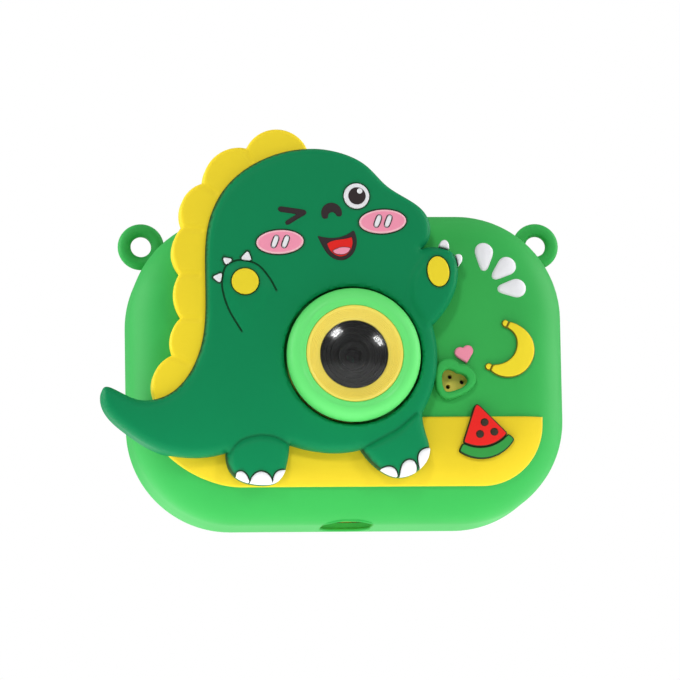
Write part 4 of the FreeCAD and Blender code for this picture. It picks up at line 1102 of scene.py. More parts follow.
def on_dino(name, node, rise, material, edge=0.22, step=0.3, rim_band=0.0, soften=0, grow=0.0,
            above=0.0):
    """A mark that follows the dinosaur's front and stands out by rise, above another mark or none."""
    face = dino_face()
    loops = [even(loop, 0.2, soften=soften) for loop in front_loops(node)]
    if grow:
        loops = [grown_loop(loop, grow) for loop in loops]
    return relief(name, loops, lambda spots: face.depth(spots) - rise - above,
                  lambda spots: face.depth(spots) - above + 0.5, material, (node,), edge=edge,
                  step=step, rim_band=rim_band)


def round_claw(loop):
    """A claw's outline with its corners rounded."""
    return grown_loop(even(loop, 0.12, corner=181, soften=16), 0.12)


class TOY_OT_claws(bpy.types.Operator):
    """Mould the toes, the small claws on the hands and the palm pads"""
    bl_idname = "toy.claws"
    bl_label = "Toes, claws and palms"

    def execute(self, context):
        white = coloured("white_silicone", "white")
        yellow = coloured("palm_silicone", "banana")
        face = dino_face()
        toes = [even(loop, 0.25) for loop in front_loops("foot_claws")]

        def toe_front(spots):
            """The dinosaur's front with most of its soft edge filled up."""
            gap = distance(spots, [(face.outline, True)])
            return face.depth(spots) - 0.35 - edge_drop(gap, face.edge) * 0.82
        relief("toes", toes, toe_front, level(DINO_FRONT + 3.2), white, ("foot_claws",),
               edge=0.75, step=0.35)
        claws = front_loops("hand_claws")
        left = [round_claw(loop) for loop in claws if loop[:, 0].mean() < 0]
        right = [even(loop, 0.2, soften=3) for loop in claws if loop[:, 0].mean() > 0]
        relief("left_hand_claws", left, moved(face.depth, -0.45), moved(face.depth, 0.5), white,
               ("hand_claws",), edge=0.4, step=0.3)
        relief("right_hand_claws", right, level(DINO_FRONT + 0.3), level(DINO_FRONT + 3.5), white,
               ("hand_claws",), edge=0.6, step=0.3)
        on_dino("palms", "palm_pads", sizes().mark_rise / MM, yellow)
        return {"FINISHED"}


class TOY_OT_face(bpy.types.Operator):
    """Mould the cheeks, eyes, nose and mouth"""
    bl_idname = "toy.face"
    bl_label = "Face"

    def execute(self, context):
        rise = sizes().mark_rise / MM
        white = coloured("white_silicone", "white")
        dark = coloured("dark_silicone", "dark")
        # The cheeks' lighter pink line colour is a painted highlight on their rounded rims.
        pink = coloured("pink_silicone", "pink", line=(0.93, 0.52, 0.58))
        tongue = coloured("tongue_silicone", "pink", line=tuple(paints().dark))
        lined = coloured("lined_white_silicone", "white", line=tuple(paints().dark))
        red = coloured("red_silicone", "red")
        # The rim band round each cheek is a painted highlight.
        on_dino("cheeks", "cheek_patches", rise, pink, edge=0.3, rim_band=0.3)
        on_dino("cheek_bars", "cheek_marks", 0.12, lined, above=rise, step=0.25, edge=0.12,
                grow=0.36, rim_band=0.22)
        on_dino("open_eye_white", "eye_white", rise, white, edge=0.3)
        on_dino("open_eye_pupil", "eye_pupil", 0.14, dark, above=rise, edge=0.2)
        on_dino("open_eye_glint", "eye_glint", 0.12, white, above=rise + 0.14, step=0.2)
        on_dino("winking_eye", "wink_eye", rise * 0.7, dark, edge=0.3, soften=3)
        on_dino("snout", "nose", rise * 0.7, dark, edge=0.3, soften=3)
        on_dino("mouth_rim", "mouth_outline", rise * 0.7, dark, edge=0.3, soften=2)
        on_dino("mouth_red", "mouth_inside", 0.14, red, above=rise * 0.7, edge=0.2)
        on_dino("tongue_pink", "tongue", 0.14, tongue, above=rise * 0.7 + 0.14, step=0.25,
                edge=0.2, rim_band=0.12)
        return {"FINISHED"}


class TOY_OT_ground(bpy.types.Operator):
    """Mould the yellow ground that the dinosaur stands on"""
    bl_idname = "toy.ground"
    bl_label = "Ground"

    def execute(self, context):
        yellow = coloured("yellow_silicone", "ground")
        rise = sizes().patch_rise / MM
        loops = [even(loop, 0.5) for loop in front_loops("ground_patch")]
        relief("ground", loops, moved(cover_depth, -rise), moved(cover_depth, 0.3), yellow,
               ("ground_patch",), edge=sizes().art_edge / MM, step=0.9)
        return {"FINISHED"}


def on_cover(name, nodes, rise, material, edge, step=0.4, rim_band=0.0, soften=0, lines=(), crown=0.0):
    """Artwork that follows the cover's face and stands out by rise."""
    loops = [even(loop, 0.25, soften=soften) for node in nodes for loop in front_loops(node)]
    border = [(loop, True) for loop in loops]

    def front(spots):
        """The cover's face raised, and lower by crown at the border than in the middle."""
        return cover_depth(spots) - rise - crown * ease(distance(spots, border) / 2.2) + crown
    return relief(name, loops, front, moved(cover_depth, 0.3), material, nodes, edge=edge, step=step,
                  rim_band=rim_band, lines=lines)


class TOY_OT_fruit(bpy.types.Operator):
    """Mould the petals, banana, pink heart and melon slice"""
    bl_idname = "toy.fruit"
    bl_label = "Petals, banana, heart and melon"

    def execute(self, context):
        rise = sizes().patch_rise / MM
        tall = sizes().melon_rise / MM
        edge = sizes().art_edge / MM
        white = coloured("white_silicone", "white")
        pink = finish("heart_silicone", silicone, (0.84, 0.27, 0.38), 0.5, (0.05, 0.12, 0.04))
        # The banana's line colour is the painted shade round its border, and also colours the two dark lines
        # across it.
        yellow = coloured("banana_silicone", "banana", line=(0.17, 0.14, 0.01))
        red = coloured("melon_red_silicone", "red", 0.46, (0.03, 0.025, 0.01))
        rind = coloured("rind_silicone", "rind", line=(0.01, 0.03, 0.01))
        on_cover("white_petals", ("petals",), rise, white, 0.8, crown=0.3)
        on_cover("small_heart", ("pink_heart",), rise, pink, edge, step=0.3)
        ties = [(np.array(tie), False, 0.16, 0.25) for tie in BANANA_TIES]
        # The dark rim band round the banana is painted shade in the gap round its edge.
        on_cover("banana_fruit", ("banana",), rise, yellow, 0.5, rim_band=0.14, lines=ties)
        on_cover("melon_red", ("melon_flesh",), tall, red, edge, rim_band=0.24, soften=6)
        on_cover("melon_green", ("melon_rind",), tall, rind, edge, rim_band=0.24, soften=6)
        self.seeds(tall)
        return {"FINISHED"}

    def seeds(self, tall):
        """Three round seeds let into the melon, each a low dome on the spot that its CAD solid holds."""
        dark = finish("seed_silicone", silicone, (0.035, 0.028, 0.018), 0.4)
        loops = front_loops("melon_seeds")
        middles = np.array([loop.mean(axis=0) for loop in loops])
        radius = float(np.mean([np.ptp(loop[:, 0]) / 2 for loop in loops]))
        depths = cover_depth(middles) - tall
        rig = Rig("seed_rig", Radius=radius * MM, Flatness=0.45)
        ball = rig.add("GeometryNodeMeshUVSphere", None,
                       {"Segments": 40, "Rings": 20, "Radius": rig.size("Radius")})
        shape = rig.add("ShaderNodeCombineXYZ", None, {0: 1.0, 1: rig.size("Flatness"), 2: 1.0})
        dome = rig.add("GeometryNodeInstanceOnPoints", None,
                       {"Points": rig.start.outputs[0], "Instance": ball.outputs[0],
                        "Scale": shape.outputs[0]})
        rig.build("melon_pips", dome.outputs[0], dark, ("melon_seeds",),
                  points=[(x, depth + 0.1, z) for (x, z), depth in zip(middles, depths)])


# The two dark lines across the banana, near its ends.
BANANA_TIES = (((36.5, 45.3), (35.8, 43.9)), ((32.5, 35.4), (31.8, 34.0)))


class TOY_OT_lens(bpy.types.Operator):
    """Turn the green bezel, the yellow ring, the black hood and the lens window"""
    bl_idname = "toy.lens"
    bl_label = "Lens"

    def execute(self, context):
        opt = context.scene.toy_lens
        green = finish("bezel_plastic", plastic, (0.118, 0.74, 0.16), 0.5, 0.06)
        yellow = finish("ring_plastic", plastic, (0.90, 0.72, 0.10), 0.36)
        black = finish("hood_plastic", black_plastic, 0.16, 0.5)
        clear = finish("window_glass", clear_glass)
        outer = float(RING_HIGH[0] - LENS_X)
        front, back = float(RING_LOW[1]), float(RING_HIGH[1])
        trim_low, trim_high = span("trim_ring")
        trim = float(trim_high[0] - LENS_X)
        hood_low, hood_high = span("lens_hood")
        hood = float(hood_high[0] - LENS_X)
        crown = opt.ring_crown / MM
        bore = trim + 0.05
        ledge = DINO_FRONT + 1
        seat = float(trim_high[1])
        profile = [(bore, seat), (bore, front + 0.55), (bore + 0.12, front + 0.36)]
        profile += bow((bore + 0.3, front + 0.28), (outer - 2.7, front + 0.05), 0.06, 8)
        profile += quarter((outer - 2.7, front + crown), 2.7, crown - 0.05, -88, 0, 16)
        profile += [(outer, ledge), (outer - 1.4, ledge), (outer - 1.4, back), (12.55, back), (12.55, seat)]
        lathe("green_bezel", profile, green, ("lens_ring",), count=192)
        self.yellow_ring(opt, yellow, trim, hood, trim_low, trim_high)
        self.hood(opt, black, hood, hood_low, hood_high)
        rim = hood - 0.05
        glass = float(span("lens_window")[0][1])
        bulge = opt.window_bulge / MM
        radius = (rim ** 2 + bulge ** 2) / (2 * bulge)
        dome = [(rim * share, glass + 0.12 - bulge + radius - math.sqrt(radius ** 2 - (rim * share) ** 2))
                for share in np.linspace(0, 1, 24)]
        inner = [(rim * share, glass + 0.32 - (bulge - 0.3) * (1 - share ** 2))
                 for share in np.linspace(1, 0, 16)]
        lathe("front_window", dome + inner, clear, ("lens_window",))
        keep_cad(black, "lens_barrel", "sensor_holder")
        keep_cad(finish("element_glass", clear_glass, (0.80, 0.86, 1.0), 0.0, 0.3), "lens_elements")
        return {"FINISHED"}

    def yellow_ring(self, opt, yellow, trim, hood, low, high):
        """The yellow ring, with fine ridges that run round it."""
        front, back = float(low[1]), float(high[1])
        inner = hood + 0.05
        seat = float(span("lens_window")[0][1])
        profile = [(inner, back), (inner, seat + 0.12), (inner + 0.12, seat - 0.02)]
        profile += bow((inner + 0.3, seat - 0.13), (trim - 0.62, front + 0.06), 0.03, 6)
        profile += [(trim - 0.5, front), (trim - 0.14, front), (trim, front + 0.14), (trim, back)]
        lathe("yellow_ring", profile, yellow, ("trim_ring",), count=192)
        steps = max(opt.ridge_count - 1, 1)
        run, fall = (trim - inner - 1.5) / steps, (front - seat + 0.5) / steps
        rig = Rig("ridge_rig", Count=opt.ridge_count, First=(inner + 0.6) * MM, Pitch=run * MM,
                  Thickness=float(opt.ridge_radius), Start=(LENS_X * MM, (seat - 0.27) * MM, LENS_Z * MM),
                  Step=(0.0, fall * MM, 0.0))
        line = rig.add("GeometryNodeMeshLine", None,
                       {"Count": rig.size("Count"), "Start Location": rig.size("Start"),
                        "Offset": rig.size("Step")})
        at = Number(rig.tree, rig.add("GeometryNodeInputIndex").outputs[0])
        radius = rig.size("First") + at * rig.size("Pitch")
        round_line = rig.add("GeometryNodeCurvePrimitiveCircle", None, {"Resolution": 160, "Radius": 1.0})
        upright = rig.add("FunctionNodeEulerToRotation", None, {0: (math.pi / 2, 0, 0)})
        rings = rig.add("GeometryNodeInstanceOnPoints", None,
                        {"Points": line.outputs[0], "Instance": round_line.outputs[0],
                         "Rotation": upright.outputs[0], "Scale": radius})
        flat = rig.add("GeometryNodeRealizeInstances", None, {0: rings.outputs[0]})
        wire_round = rig.add("GeometryNodeCurvePrimitiveCircle", None,
                             {"Resolution": 6, "Radius": rig.size("Thickness")})
        tubes = rig.add("GeometryNodeCurveToMesh", None,
                        {"Curve": flat.outputs[0], "Profile Curve": wire_round.outputs[0]})
        rig.build("yellow_ring_ridges", tubes.outputs[0], yellow, smooth=60)

    def hood(self, opt, black, hood, low, high):
        """The black hood: a stepped funnel down to the barrel."""
        front, back = float(low[1]), float(high[1])
        barrel = 3.15
        wide, narrow = hood - 0.4, 4.15
        steps, deep = opt.baffle_count, 2.4
        profile = [(hood, back), (hood, front), (wide, front)]
        for index in range(steps):
            radius = wide + (narrow - wide) * index / steps
            onward = wide + (narrow - wide) * (index + 1) / steps
            depth = front + deep * (index + 1) / steps
            profile += [(radius - 0.06, depth - 0.1), (radius - 0.2, depth), (onward + 0.1, depth + 0.02)]
        foot = front + deep
        profile += [(narrow, foot), (narrow - 0.15, foot - 0.3), (narrow - 0.4, foot - 0.3),
                    (narrow - 0.6, foot), (barrel, foot + 0.2), (barrel, back)]
        lathe("black_hood", profile, black, ("lens_hood",), smooth=30)


class TOY_OT_housing(bpy.types.Operator):
    """Finish the yellow camera shells and set their screws"""
    bl_idname = "toy.housing"
    bl_label = "Camera shells and screws"

    def execute(self, context):
        yellow = finish("shell_plastic", plastic, (0.88, 0.70, 0.09), 0.34)
        keep_cad(yellow, "front_shell", "rear_shell")
        metal = finish("screw_steel", steel)
        low, high = span("case_screws")
        radius = 1.9
        seat = float(high[1]) - 1.4
        slot = context.scene.toy_back.screw_slot / MM
        pattern = bpy.data.objects.new("screw_pattern", screw_mesh(radius, slot, seat - float(low[1])))
        bpy.context.scene.collection.objects.link(pattern)
        rig = Rig("screw_rig", Pattern=pattern, Turn=0.5)
        shape = rig.add("GeometryNodeObjectInfo", None,
                        {0: rig.start.outputs["Pattern"], "As Instance": True})
        turn = rig.add("FunctionNodeRandomValue", {"data_type": "FLOAT"}, {2: -1.0, 3: 1.0, "Seed": 7})
        angle = Number(rig.tree, turn.outputs[1]) * rig.size("Turn")
        about = rig.add("ShaderNodeCombineXYZ", None, {0: 0.0, 1: angle, 2: 0.0})
        to_turn = rig.add("FunctionNodeEulerToRotation", None, {0: about.outputs[0]})
        screws = rig.add("GeometryNodeInstanceOnPoints", None,
                         {"Points": rig.start.outputs[0], "Instance": shape.outputs["Geometry"],
                          "Rotation": to_turn.outputs[0]})
        corners = [(x, seat, z) for x in (low[0] + radius, high[0] - radius)
                   for z in (low[2] + radius, high[2] - radius)]
        rig.build("cross_head_screws", screws.outputs[0], metal, ("case_screws",), points=corners,
                  smooth=30)
        bpy.data.objects.remove(pattern)
        return {"FINISHED"}


def screw_mesh(radius, slot, reach):
    """One cross-head screw about the origin, its head towards +y and its threaded shank towards -y."""
    shape = bmesh.new()
    profile = [(0.0, -reach), (0.45, -reach + 0.7)]
    pitch, core, crest = 0.7, 0.68, 0.89
    turns = int((reach - 1.4) / pitch)
    for index in range(turns):
        base = -reach + 0.8 + index * pitch
        profile += [(core, base), (crest, base + pitch * 0.35), (crest, base + pitch * 0.45),
                    (core, base + pitch * 0.8)]
    profile += [(0.85, -0.4), (0.85, 0.0), (radius, 0.0), (radius, 0.65)]
    profile += [(radius * math.cos(angle), 0.65 + 0.72 * math.sin(angle))
                for angle in np.linspace(0.12, 1.3, 8)]
    profile += [(0.0, 1.38)]
    count = 40
    rows = []
    for across, depth in profile:
        turned = 1 if across == 0 else count
        turns_at = [2 * math.pi * at / count for at in range(turned)]
        rows.append([shape.verts.new((across * math.cos(angle) * MM, depth * MM,
                                      across * math.sin(angle) * MM)) for angle in turns_at])
    for lower, upper in zip(rows, rows[1:]):
        for at in range(count):
            ring = [lower[at % len(lower)], lower[(at + 1) % len(lower)], upper[(at + 1) % len(upper)],
                    upper[at % len(upper)]]
            unique = list(dict.fromkeys(ring))
            if len(unique) > 2:
                shape.faces.new(unique)
    bmesh.ops.recalc_face_normals(shape, faces=shape.faces)
    body = bpy.data.meshes.new("screw_blank")
    shape.to_mesh(body)
    shape.free()
    return cut_cross(body, slot)


def cut_cross(mesh, slot):
    """Cut a tapered cross into a screw's head."""
    blank = bpy.data.objects.new("screw_blank", mesh)
    bpy.context.scene.collection.objects.link(blank)
    shape = bmesh.new()
    for turn in (0, math.pi / 2):
        made = bmesh.ops.create_cube(shape, size=1)
        spread = Matrix.Diagonal((2.5 * MM, 1.9 * MM, slot * 1.2 * MM, 1))
        bmesh.ops.transform(shape, verts=made["verts"], matrix=Matrix.Translation((0, 1.55 * MM, 0))
                            @ Matrix.Rotation(turn, 4, "Y") @ spread)
    cutter_mesh = bpy.data.meshes.new("cross")
    shape.to_mesh(cutter_mesh)
    shape.free()
    cutter = bpy.data.objects.new("cross", cutter_mesh)
    bpy.context.scene.collection.objects.link(cutter)
    modifier = blank.modifiers.new("cross", "BOOLEAN")
    modifier.object = cutter
    modifier.operation = "DIFFERENCE"
    modifier.solver = "EXACT"
    modifier.use_self = True
    bpy.context.view_layer.update()
    result = bpy.data.meshes.new_from_object(blank.evaluated_get(bpy.context.evaluated_depsgraph_get()))
    bpy.data.objects.remove(blank)
    bpy.data.objects.remove(cutter)
    return result


class TOY_OT_screen(bpy.types.Operator):
    """Make the rear screen glass with its printed border"""
    bl_idname = "toy.screen"
    bl_label = "Rear screen"

    def execute(self, context):
        low, high = span("screen_window")
        glass = finish("smoked_glass", screen_glass)
        border = context.scene.toy_back.bezel / MM
        outline = rounded(low[0], high[0], low[2], high[2], 2.95)
        view = rounded(low[0] + border, high[0] - border, low[2] + border, high[2] - border, 0.8)

        def printed(spots):
            """Black outside the lit area."""
            gap = distance(spots, [(view, True)])
            return np.where(inside(spots, [view]), 0, np.clip(gap / 0.12, 0, 1))
        spots, corners = screen_net(outline, view)
        gap = distance(spots, [(outline, True)])
        rear = np.full(len(spots), float(high[1])) - edge_drop(gap, 0.3)
        face = np.full(len(spots), float(low[1]))
        closed_plate("rear_screen_glass", spots, corners, face, rear, printed(spots), glass,
                     ("screen_window",))
        return {"FINISHED"}


def screen_net(outline, view):
    """Points for the screen glass: its border, its soft edge and both sides of the printed border."""
    rows = [outline] + [grown_loop(outline, -gap) for gap in (0.03, 0.1, 0.2, 0.3, 0.5)]
    rows += [grown_loop(view, gap) for gap in (-0.01, 0.12)]
    return triangulate(np.vstack(rows), [(0, len(outline))])


def rounded(left, right, low, high, radius, per_corner=10):
    """A rounded rectangle."""
    points = []
    for x, z, start in ((right - radius, high - radius, 0), (left + radius, high - radius, 90),
                        (left + radius, low + radius, 180), (right - radius, low + radius, 270)):
        for angle in np.radians(np.linspace(start, start + 90, per_corner)):
            points.append((x + radius * math.cos(angle), z + radius * math.sin(angle)))
    return even(np.array(points), 0.5, corner=60)


KEY_NODES = ("key_up", "key_down", "key_left", "key_right", "key_ok", "key_mode", "key_menu")


class TOY_OT_keys(bpy.types.Operator):
    """Turn the seven rear keys with domed faces and mould a plain symbol on each"""
    bl_idname = "toy.keys"
    bl_label = "Rear keys"

    def execute(self, context):
        green = finish("key_plastic", plastic, (0.13, 0.72, 0.17), 0.34)
        white = finish("symbol_plastic", plastic, (0.82, 0.83, 0.82), 0.4)
        opt = context.scene.toy_back
        for node in KEY_NODES:
            low, high = span(node)
            x, z = float(low[0] + high[0]) / 2, float(low[2] + high[2]) / 2
            flange, back, top = float(high[0] - x), float(low[1]), float(high[1])
            radius = 3.2
            dome = opt.key_dome / MM
            profile = [(0.0, back), (flange, back), (flange, back + 0.6), (radius, back + 0.6)]
            profile += quarter((radius - 0.45, top - dome - 0.4), 0.45, 0.45, 0, 80, 6)
            profile += [(radius * share, top - dome * share ** 2) for share in np.linspace(0.8, 0, 8)]
            lathe(node + "_cap", profile, green, (node,), body=node, count=64, x=x, z=z)
            self.symbol(node, x, z, top, radius, dome, white, opt)
        return {"FINISHED"}

    def symbol(self, node, x, z, top, radius, dome, white, opt):
        """A plain symbol let into the key's face."""
        middle = np.array([x, z])

        def face(spots):
            """The key's domed face."""
            off = np.linalg.norm(spots - middle, axis=1) / radius
            return top - dome * off ** 2
        loops = [np.array(loop) + middle for loop in key_symbol(node)]
        rise = opt.symbol_rise / MM
        spots, corners = symbol_net(loops)
        closed_plate(node + "_symbol", spots, corners, face(spots) - 0.3, face(spots) + rise,
                     np.zeros(len(spots)), white, body=node)


def symbol_net(loops):
    """Points and triangles over the loops of a symbol."""
    loops = [even(loop, 0.16, corner=25) for loop in loops]
    starts = np.cumsum([0] + [len(loop) for loop in loops])
    return triangulate(np.vstack(loops), [(int(start), len(loop)) for start, loop in zip(starts, loops)])


def key_symbol(node):
    """Closed outlines of a key's symbol about its middle, seen from the front; the back view mirrors them."""
    arrow = np.array([(-1.0, -0.65), (1.0, -0.65), (0.0, 0.95)])
    turns = {"key_up": 0, "key_left": 90, "key_down": 180, "key_right": 270}
    if node in turns:
        angle = math.radians(turns[node])
        spin = np.array([(math.cos(angle), math.sin(angle)), (-math.sin(angle), math.cos(angle))])
        return [arrow @ spin]
    if node == "key_ok":
        return [circle(0, 0, 1.5, 48), circle(0, 0, 1.05, 40), circle(0, 0, 0.45, 24)]
    if node == "key_mode":
        play = np.array([(0.75, 0.9), (0.75, -0.9), (-1.0, 0.0)])
        return [play, rounded(1.05, 1.4, -0.9, 0.9, 0.1, 4)]
    return [rounded(-1.25, 1.25, level - 0.2, level + 0.2, 0.18, 4) for level in (-0.75, 0.0, 0.75)]


class TOY_OT_buttons(bpy.types.Operator):
    """Turn the shutter and power buttons on the top"""
    bl_idname = "toy.buttons"
    bl_label = "Top buttons"

    def execute(self, context):
        green = finish("key_plastic", plastic, (0.13, 0.72, 0.17), 0.34)
        white = finish("symbol_plastic", plastic, (0.82, 0.83, 0.82), 0.4)
        for node, rim in (("shutter_button", 4.0), ("power_button", 3.0)):
            low, high = span(node)
            x, y = float(low[0] + high[0]) / 2, float(low[1] + high[1]) / 2
            flange, base, top = float(high[0] - x), float(low[2]), float(high[2])
            profile = [(0.0, base), (flange, base), (flange, base + 0.75), (rim, base + 0.75)]
            profile += quarter((rim - 0.5, top - 0.5), 0.5, 0.5, 0, 80, 8)
            profile += [(rim - 0.9, top - 0.02), (rim - 1.15, top - 0.22), (rim - 1.6, top - 0.2)]
            profile += [((rim - 1.6) * share, top - 0.05 - 0.15 * share ** 2)
                        for share in np.linspace(0.9, 0, 6)]
            lathe(node + "_cap", profile, green, (node,), body=node, count=80, x=x, z=y,
                  axis="z")
        low, high = span("power_button")
        x, y, top = float(low[0] + high[0]) / 2, float(low[1] + high[1]) / 2, float(high[2])
        arcs = [(x + r * math.sin(math.radians(angle)), y + r * math.cos(math.radians(angle)))
                for r, angles in ((0.95, range(35, 326, 10)), (0.72, range(325, 34, -10)))
                for angle in angles]
        bar = rounded(x - 0.12, x + 0.12, y + 0.35, y + 1.1, 0.1, 4)
        spots, corners = symbol_net([np.array(arcs), bar])
        mark = closed_plate("power_symbol", spots, corners, np.zeros(len(spots)), np.full(len(spots), 0.25),
                            np.zeros(len(spots)), white, body="power_button")
        lay_flat(mark, top - 0.12)
        return {"FINISHED"}


def lay_flat(thing, level):
    """Turn a plate that faces back so that it faces up at the given height."""
    for point in thing.data.vertices:
        across, deep, up = point.co
        point.co = (across, up, level * MM - 0.12 * MM + deep)
    thing.data.flip_normals()
    thing.data.update()


class TOY_OT_insides(bpy.types.Operator):
    """Finish the boards, screen panel, battery, speaker, sockets and memory card"""
    bl_idname = "toy.insides"
    bl_label = "Insides"

    def execute(self, context):
        keep_cad(finish("solder_mask", board_finish), "main_board", "sensor_board")
        keep_cad(finish("amber_film", film), "sensor_flex", "lcd_flex")
        keep_cad(finish("black_plastic", black_plastic), "lcd_frame", "key_switches", "top_switches")
        keep_cad(finish("display_panel", panel_face), "lcd_panel")
        keep_cad(finish("pouch_foil", foil), "battery")
        keep_cad(finish("red_lead", lead_skin), "battery_leads", "speaker_leads")
        keep_cad(finish("paper_cone", speaker_cone), "speaker")
        keep_cad(finish("socket_steel", steel, (0.60, 0.60, 0.62)), "usb_socket", "card_socket")
        keep_cad(finish("card_plastic", black_plastic), "memory_card")
        self.chips()
        return {"FINISHED"}

    def chips(self):
        """Small components in rows on the front of the main board."""
        low, high = span("main_board")
        rig = Rig("chip_rig", Length=1.6 * MM, Width=0.8 * MM, Rise=0.6 * MM)
        size = rig.add("ShaderNodeCombineXYZ", None,
                       {0: rig.size("Length"), 1: rig.size("Rise"), 2: rig.size("Width")})
        block = rig.add("GeometryNodeMeshCube", None, {"Size": size.outputs[0]})
        spread = rig.add("FunctionNodeRandomValue", {"data_type": "FLOAT"}, {2: 0.7, 3: 1.6, "Seed": 11})
        chips = rig.add("GeometryNodeInstanceOnPoints", None,
                        {"Points": rig.start.outputs[0], "Instance": block.outputs[0],
                         "Scale": spread.outputs[1]})
        rows = [(x, float(low[1]) - 0.25, z) for x in np.arange(0, 16, 3.0) for z in np.arange(46, 58, 2.6)]
        rig.build("board_parts", chips.outputs[0], finish("chip_plastic", black_plastic),
                  points=rows, smooth=30)


class TOY_OT_stage(bpy.types.Operator):
    """Lay the pale floor and set up the soft light and the camera"""
    bl_idname = "toy.stage"
    bl_label = "Stage"

    def execute(self, context):
        opt = context.scene.toy_stage
        context.scene.view_settings.view_transform = "Standard"
        self.floor(opt)
        self.world(context, opt)
        self.lights(opt)
        self.camera(context, opt)
        return {"FINISHED"}

    def floor(self, opt):
        """A light table: pale from above, and seen through from below, where the camera stands."""
        mesh = bpy.data.meshes.new("floor")
        reach, level = 3.0, -0.00005
        corners = [(-reach, -reach), (reach, -reach), (reach, reach), (-reach, reach)]
        mesh.from_pydata([(x, y, level) for x, y in corners], [], [(0, 1, 2, 3)])
        floor = bpy.data.objects.new("floor", mesh)
        bpy.context.scene.collection.objects.link(floor)
        material = bpy.data.materials.new("light_table")
        material.use_nodes = True
        tree = material.node_tree
        tree.nodes.clear()
        pale = wire(tree, "ShaderNodeBsdfDiffuse", None, {"Color": (0.5, 0.5, 0.5, 1)})
        seen = wire(tree, "ShaderNodeLightPath").outputs["Is Camera Ray"]
        spot = wire(tree, "ShaderNodeTexCoord").outputs["Object"]
        oval = wire(tree, "ShaderNodeVectorMath", {"operation": "MULTIPLY"}, {0: spot, 1: (0.5, 1.0, 1.0)})
        away = Number(tree, wire(tree, "ShaderNodeVectorMath", {"operation": "LENGTH"},
                                 {0: oval.outputs[0]}).outputs["Value"])
        pool = wire(tree, "ShaderNodeMapRange", {"interpolation_type": "SMOOTHSTEP"},
                    {"Value": away, 1: 0.035, 2: 0.085, 3: opt.floor_glow, 4: opt.floor_dim}).outputs[0]
        glow = Number(tree, seen) * (0.62 - Number(tree, pool)) + Number(tree, pool)
        lit = wire(tree, "ShaderNodeEmission", None, {"Color": (1, 1, 1, 1), "Strength": glow})
        table = wire(tree, "ShaderNodeAddShader", None, {0: pale.outputs[0], 1: lit.outputs[0]})
        clear = wire(tree, "ShaderNodeBsdfTransparent")
        below = wire(tree, "ShaderNodeNewGeometry").outputs["Backfacing"]
        mixed = wire(tree, "ShaderNodeMixShader", None, {0: below, 1: table.outputs[0], 2: clear.outputs[0]})
        wire(tree, "ShaderNodeOutputMaterial", None, {"Surface": mixed.outputs[0]})
        mesh.materials.append(material)

    def world(self, context, opt):
        """A white tent that lights the object less than it shows."""
        world = bpy.data.worlds.new("tent")
        context.scene.world = world
        world.use_nodes = True
        tree = world.node_tree
        tree.nodes.clear()
        seen = wire(tree, "ShaderNodeLightPath").outputs["Is Camera Ray"]
        strength = Number(tree, seen) * (1 - opt.ambient) + opt.ambient
        tent = wire(tree, "ShaderNodeBackground", None, {"Color": (1, 1, 1, 1), "Strength": strength})
        wire(tree, "ShaderNodeOutputWorld", None, {"Surface": tent.outputs[0]})

    def lights(self, opt):
        """Three softboxes round the object, and two small ones that the lens window mirrors."""
        middle = Vector((0, -0.01, 0.04))
        softbox("left_softbox", (-0.75, 0.12, 0.1), middle, 0.6, 0.9, opt.side * 1.2)
        softbox("right_softbox", (0.75, 0.12, 0.1), middle, 0.6, 0.9, opt.side)
        softbox("top_softbox", (0, 0.05, 0.9), middle, 0.8, 0.6, opt.top)
        window = Vector((0, RING_LOW[1] * MM, LENS_Z * MM))
        for side, direction, turn, share in (("left", (-0.228, -0.817, 0.531), 45, 1.0),
                                             ("right", (0.543, -0.751, 0.376), -50, 0.75)):
            softbox(side + "_spark", window + Vector(direction) * 0.8, window, 0.16, 0.09,
                    opt.spark * share, turn)

    def camera(self, context, opt):
        """A long lens set low in front of the object."""
        across, up = opt.azimuth, opt.elevation
        back = Vector((math.sin(across) * math.cos(up), -math.cos(across) * math.cos(up), math.sin(up)))
        turn = back.to_track_quat("Z", "Y").to_matrix().to_4x4() @ Matrix.Rotation(-opt.roll, 4, "Z")
        data = bpy.data.cameras.new("camera")
        data.lens = opt.lens
        data.sensor_width = 36
        data.clip_start, data.clip_end = 0.1, 20
        view = bpy.data.objects.new("camera", data)
        aim = Vector((0, 0, opt.aim_height)) + turn.to_3x3() @ Vector((opt.aim_right, opt.aim_up, 0))
        view.matrix_world = Matrix.Translation(aim + back * opt.distance) @ turn
        bpy.context.scene.collection.objects.link(view)
        context.scene.camera = view


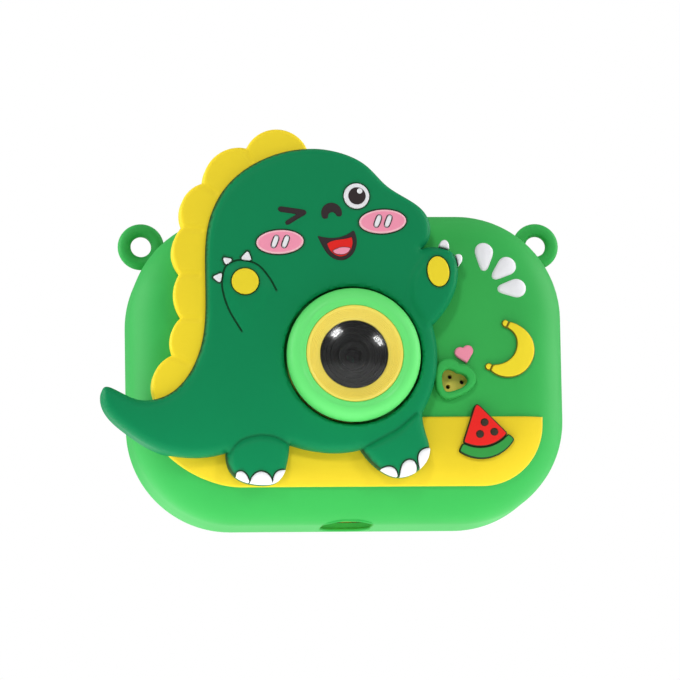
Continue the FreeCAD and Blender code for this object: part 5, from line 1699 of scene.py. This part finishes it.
def softbox(name, place, target, width, height, power, turn=0):
    """A rectangular soft light that faces a point, turned about its own axis, and isn't seen itself."""
    data = bpy.data.lights.new(name, "AREA")
    data.shape = "RECTANGLE"
    data.size, data.size_y = width, height
    data.energy = power
    lamp = bpy.data.objects.new(name, data)
    lamp.location = place
    aimed = (Vector(target) - Vector(place)).to_track_quat("-Z", "Y").to_matrix()
    lamp.rotation_euler = (aimed @ Matrix.Rotation(math.radians(turn), 3, "Z")).to_euler()
    lamp.visible_camera = False
    bpy.context.scene.collection.objects.link(lamp)


# ---------------------------------------------------------------- panel and registration
OPERATORS = (TOY_OT_cover, TOY_OT_dinosaur, TOY_OT_crest, TOY_OT_claws, TOY_OT_face, TOY_OT_ground,
             TOY_OT_fruit, TOY_OT_lens, TOY_OT_housing, TOY_OT_screen, TOY_OT_keys, TOY_OT_buttons,
             TOY_OT_insides, TOY_OT_stage)
GROUPS = {"toy_cover": CoverSizes, "toy_colours": CoverColours, "toy_lens": LensSizes, "toy_back": BackSizes,
          "toy_stage": StageSettings}


class TOY_PT_camera(bpy.types.Panel):
    """The operators that make the camera's pieces"""
    bl_idname = "TOY_PT_camera"
    bl_label = "Toy camera"
    bl_space_type = "VIEW_3D"
    bl_region_type = "UI"
    bl_category = "Toy Camera"

    def draw(self, context):
        for operator in OPERATORS:
            self.layout.operator(operator.bl_idname)


def register():
    """Add the settings, operators and panel."""
    for group in GROUPS.values():
        bpy.utils.register_class(group)
    for title, group in GROUPS.items():
        setattr(bpy.types.Scene, title, bpy.props.PointerProperty(type=group))
    for operator in OPERATORS:
        bpy.utils.register_class(operator)
    bpy.utils.register_class(TOY_PT_camera)


def unregister():
    """Take the panel, operators and settings out again."""
    bpy.utils.unregister_class(TOY_PT_camera)
    for operator in reversed(OPERATORS):
        bpy.utils.unregister_class(operator)
    for title, group in GROUPS.items():
        delattr(bpy.types.Scene, title)
        bpy.utils.unregister_class(group)


def main():
    """Run every operator in turn."""
    register()
    for operator in OPERATORS:
        family, action = operator.bl_idname.split(".")
        getattr(getattr(bpy.ops, family), action)()


if __name__ == "__main__":
    main()
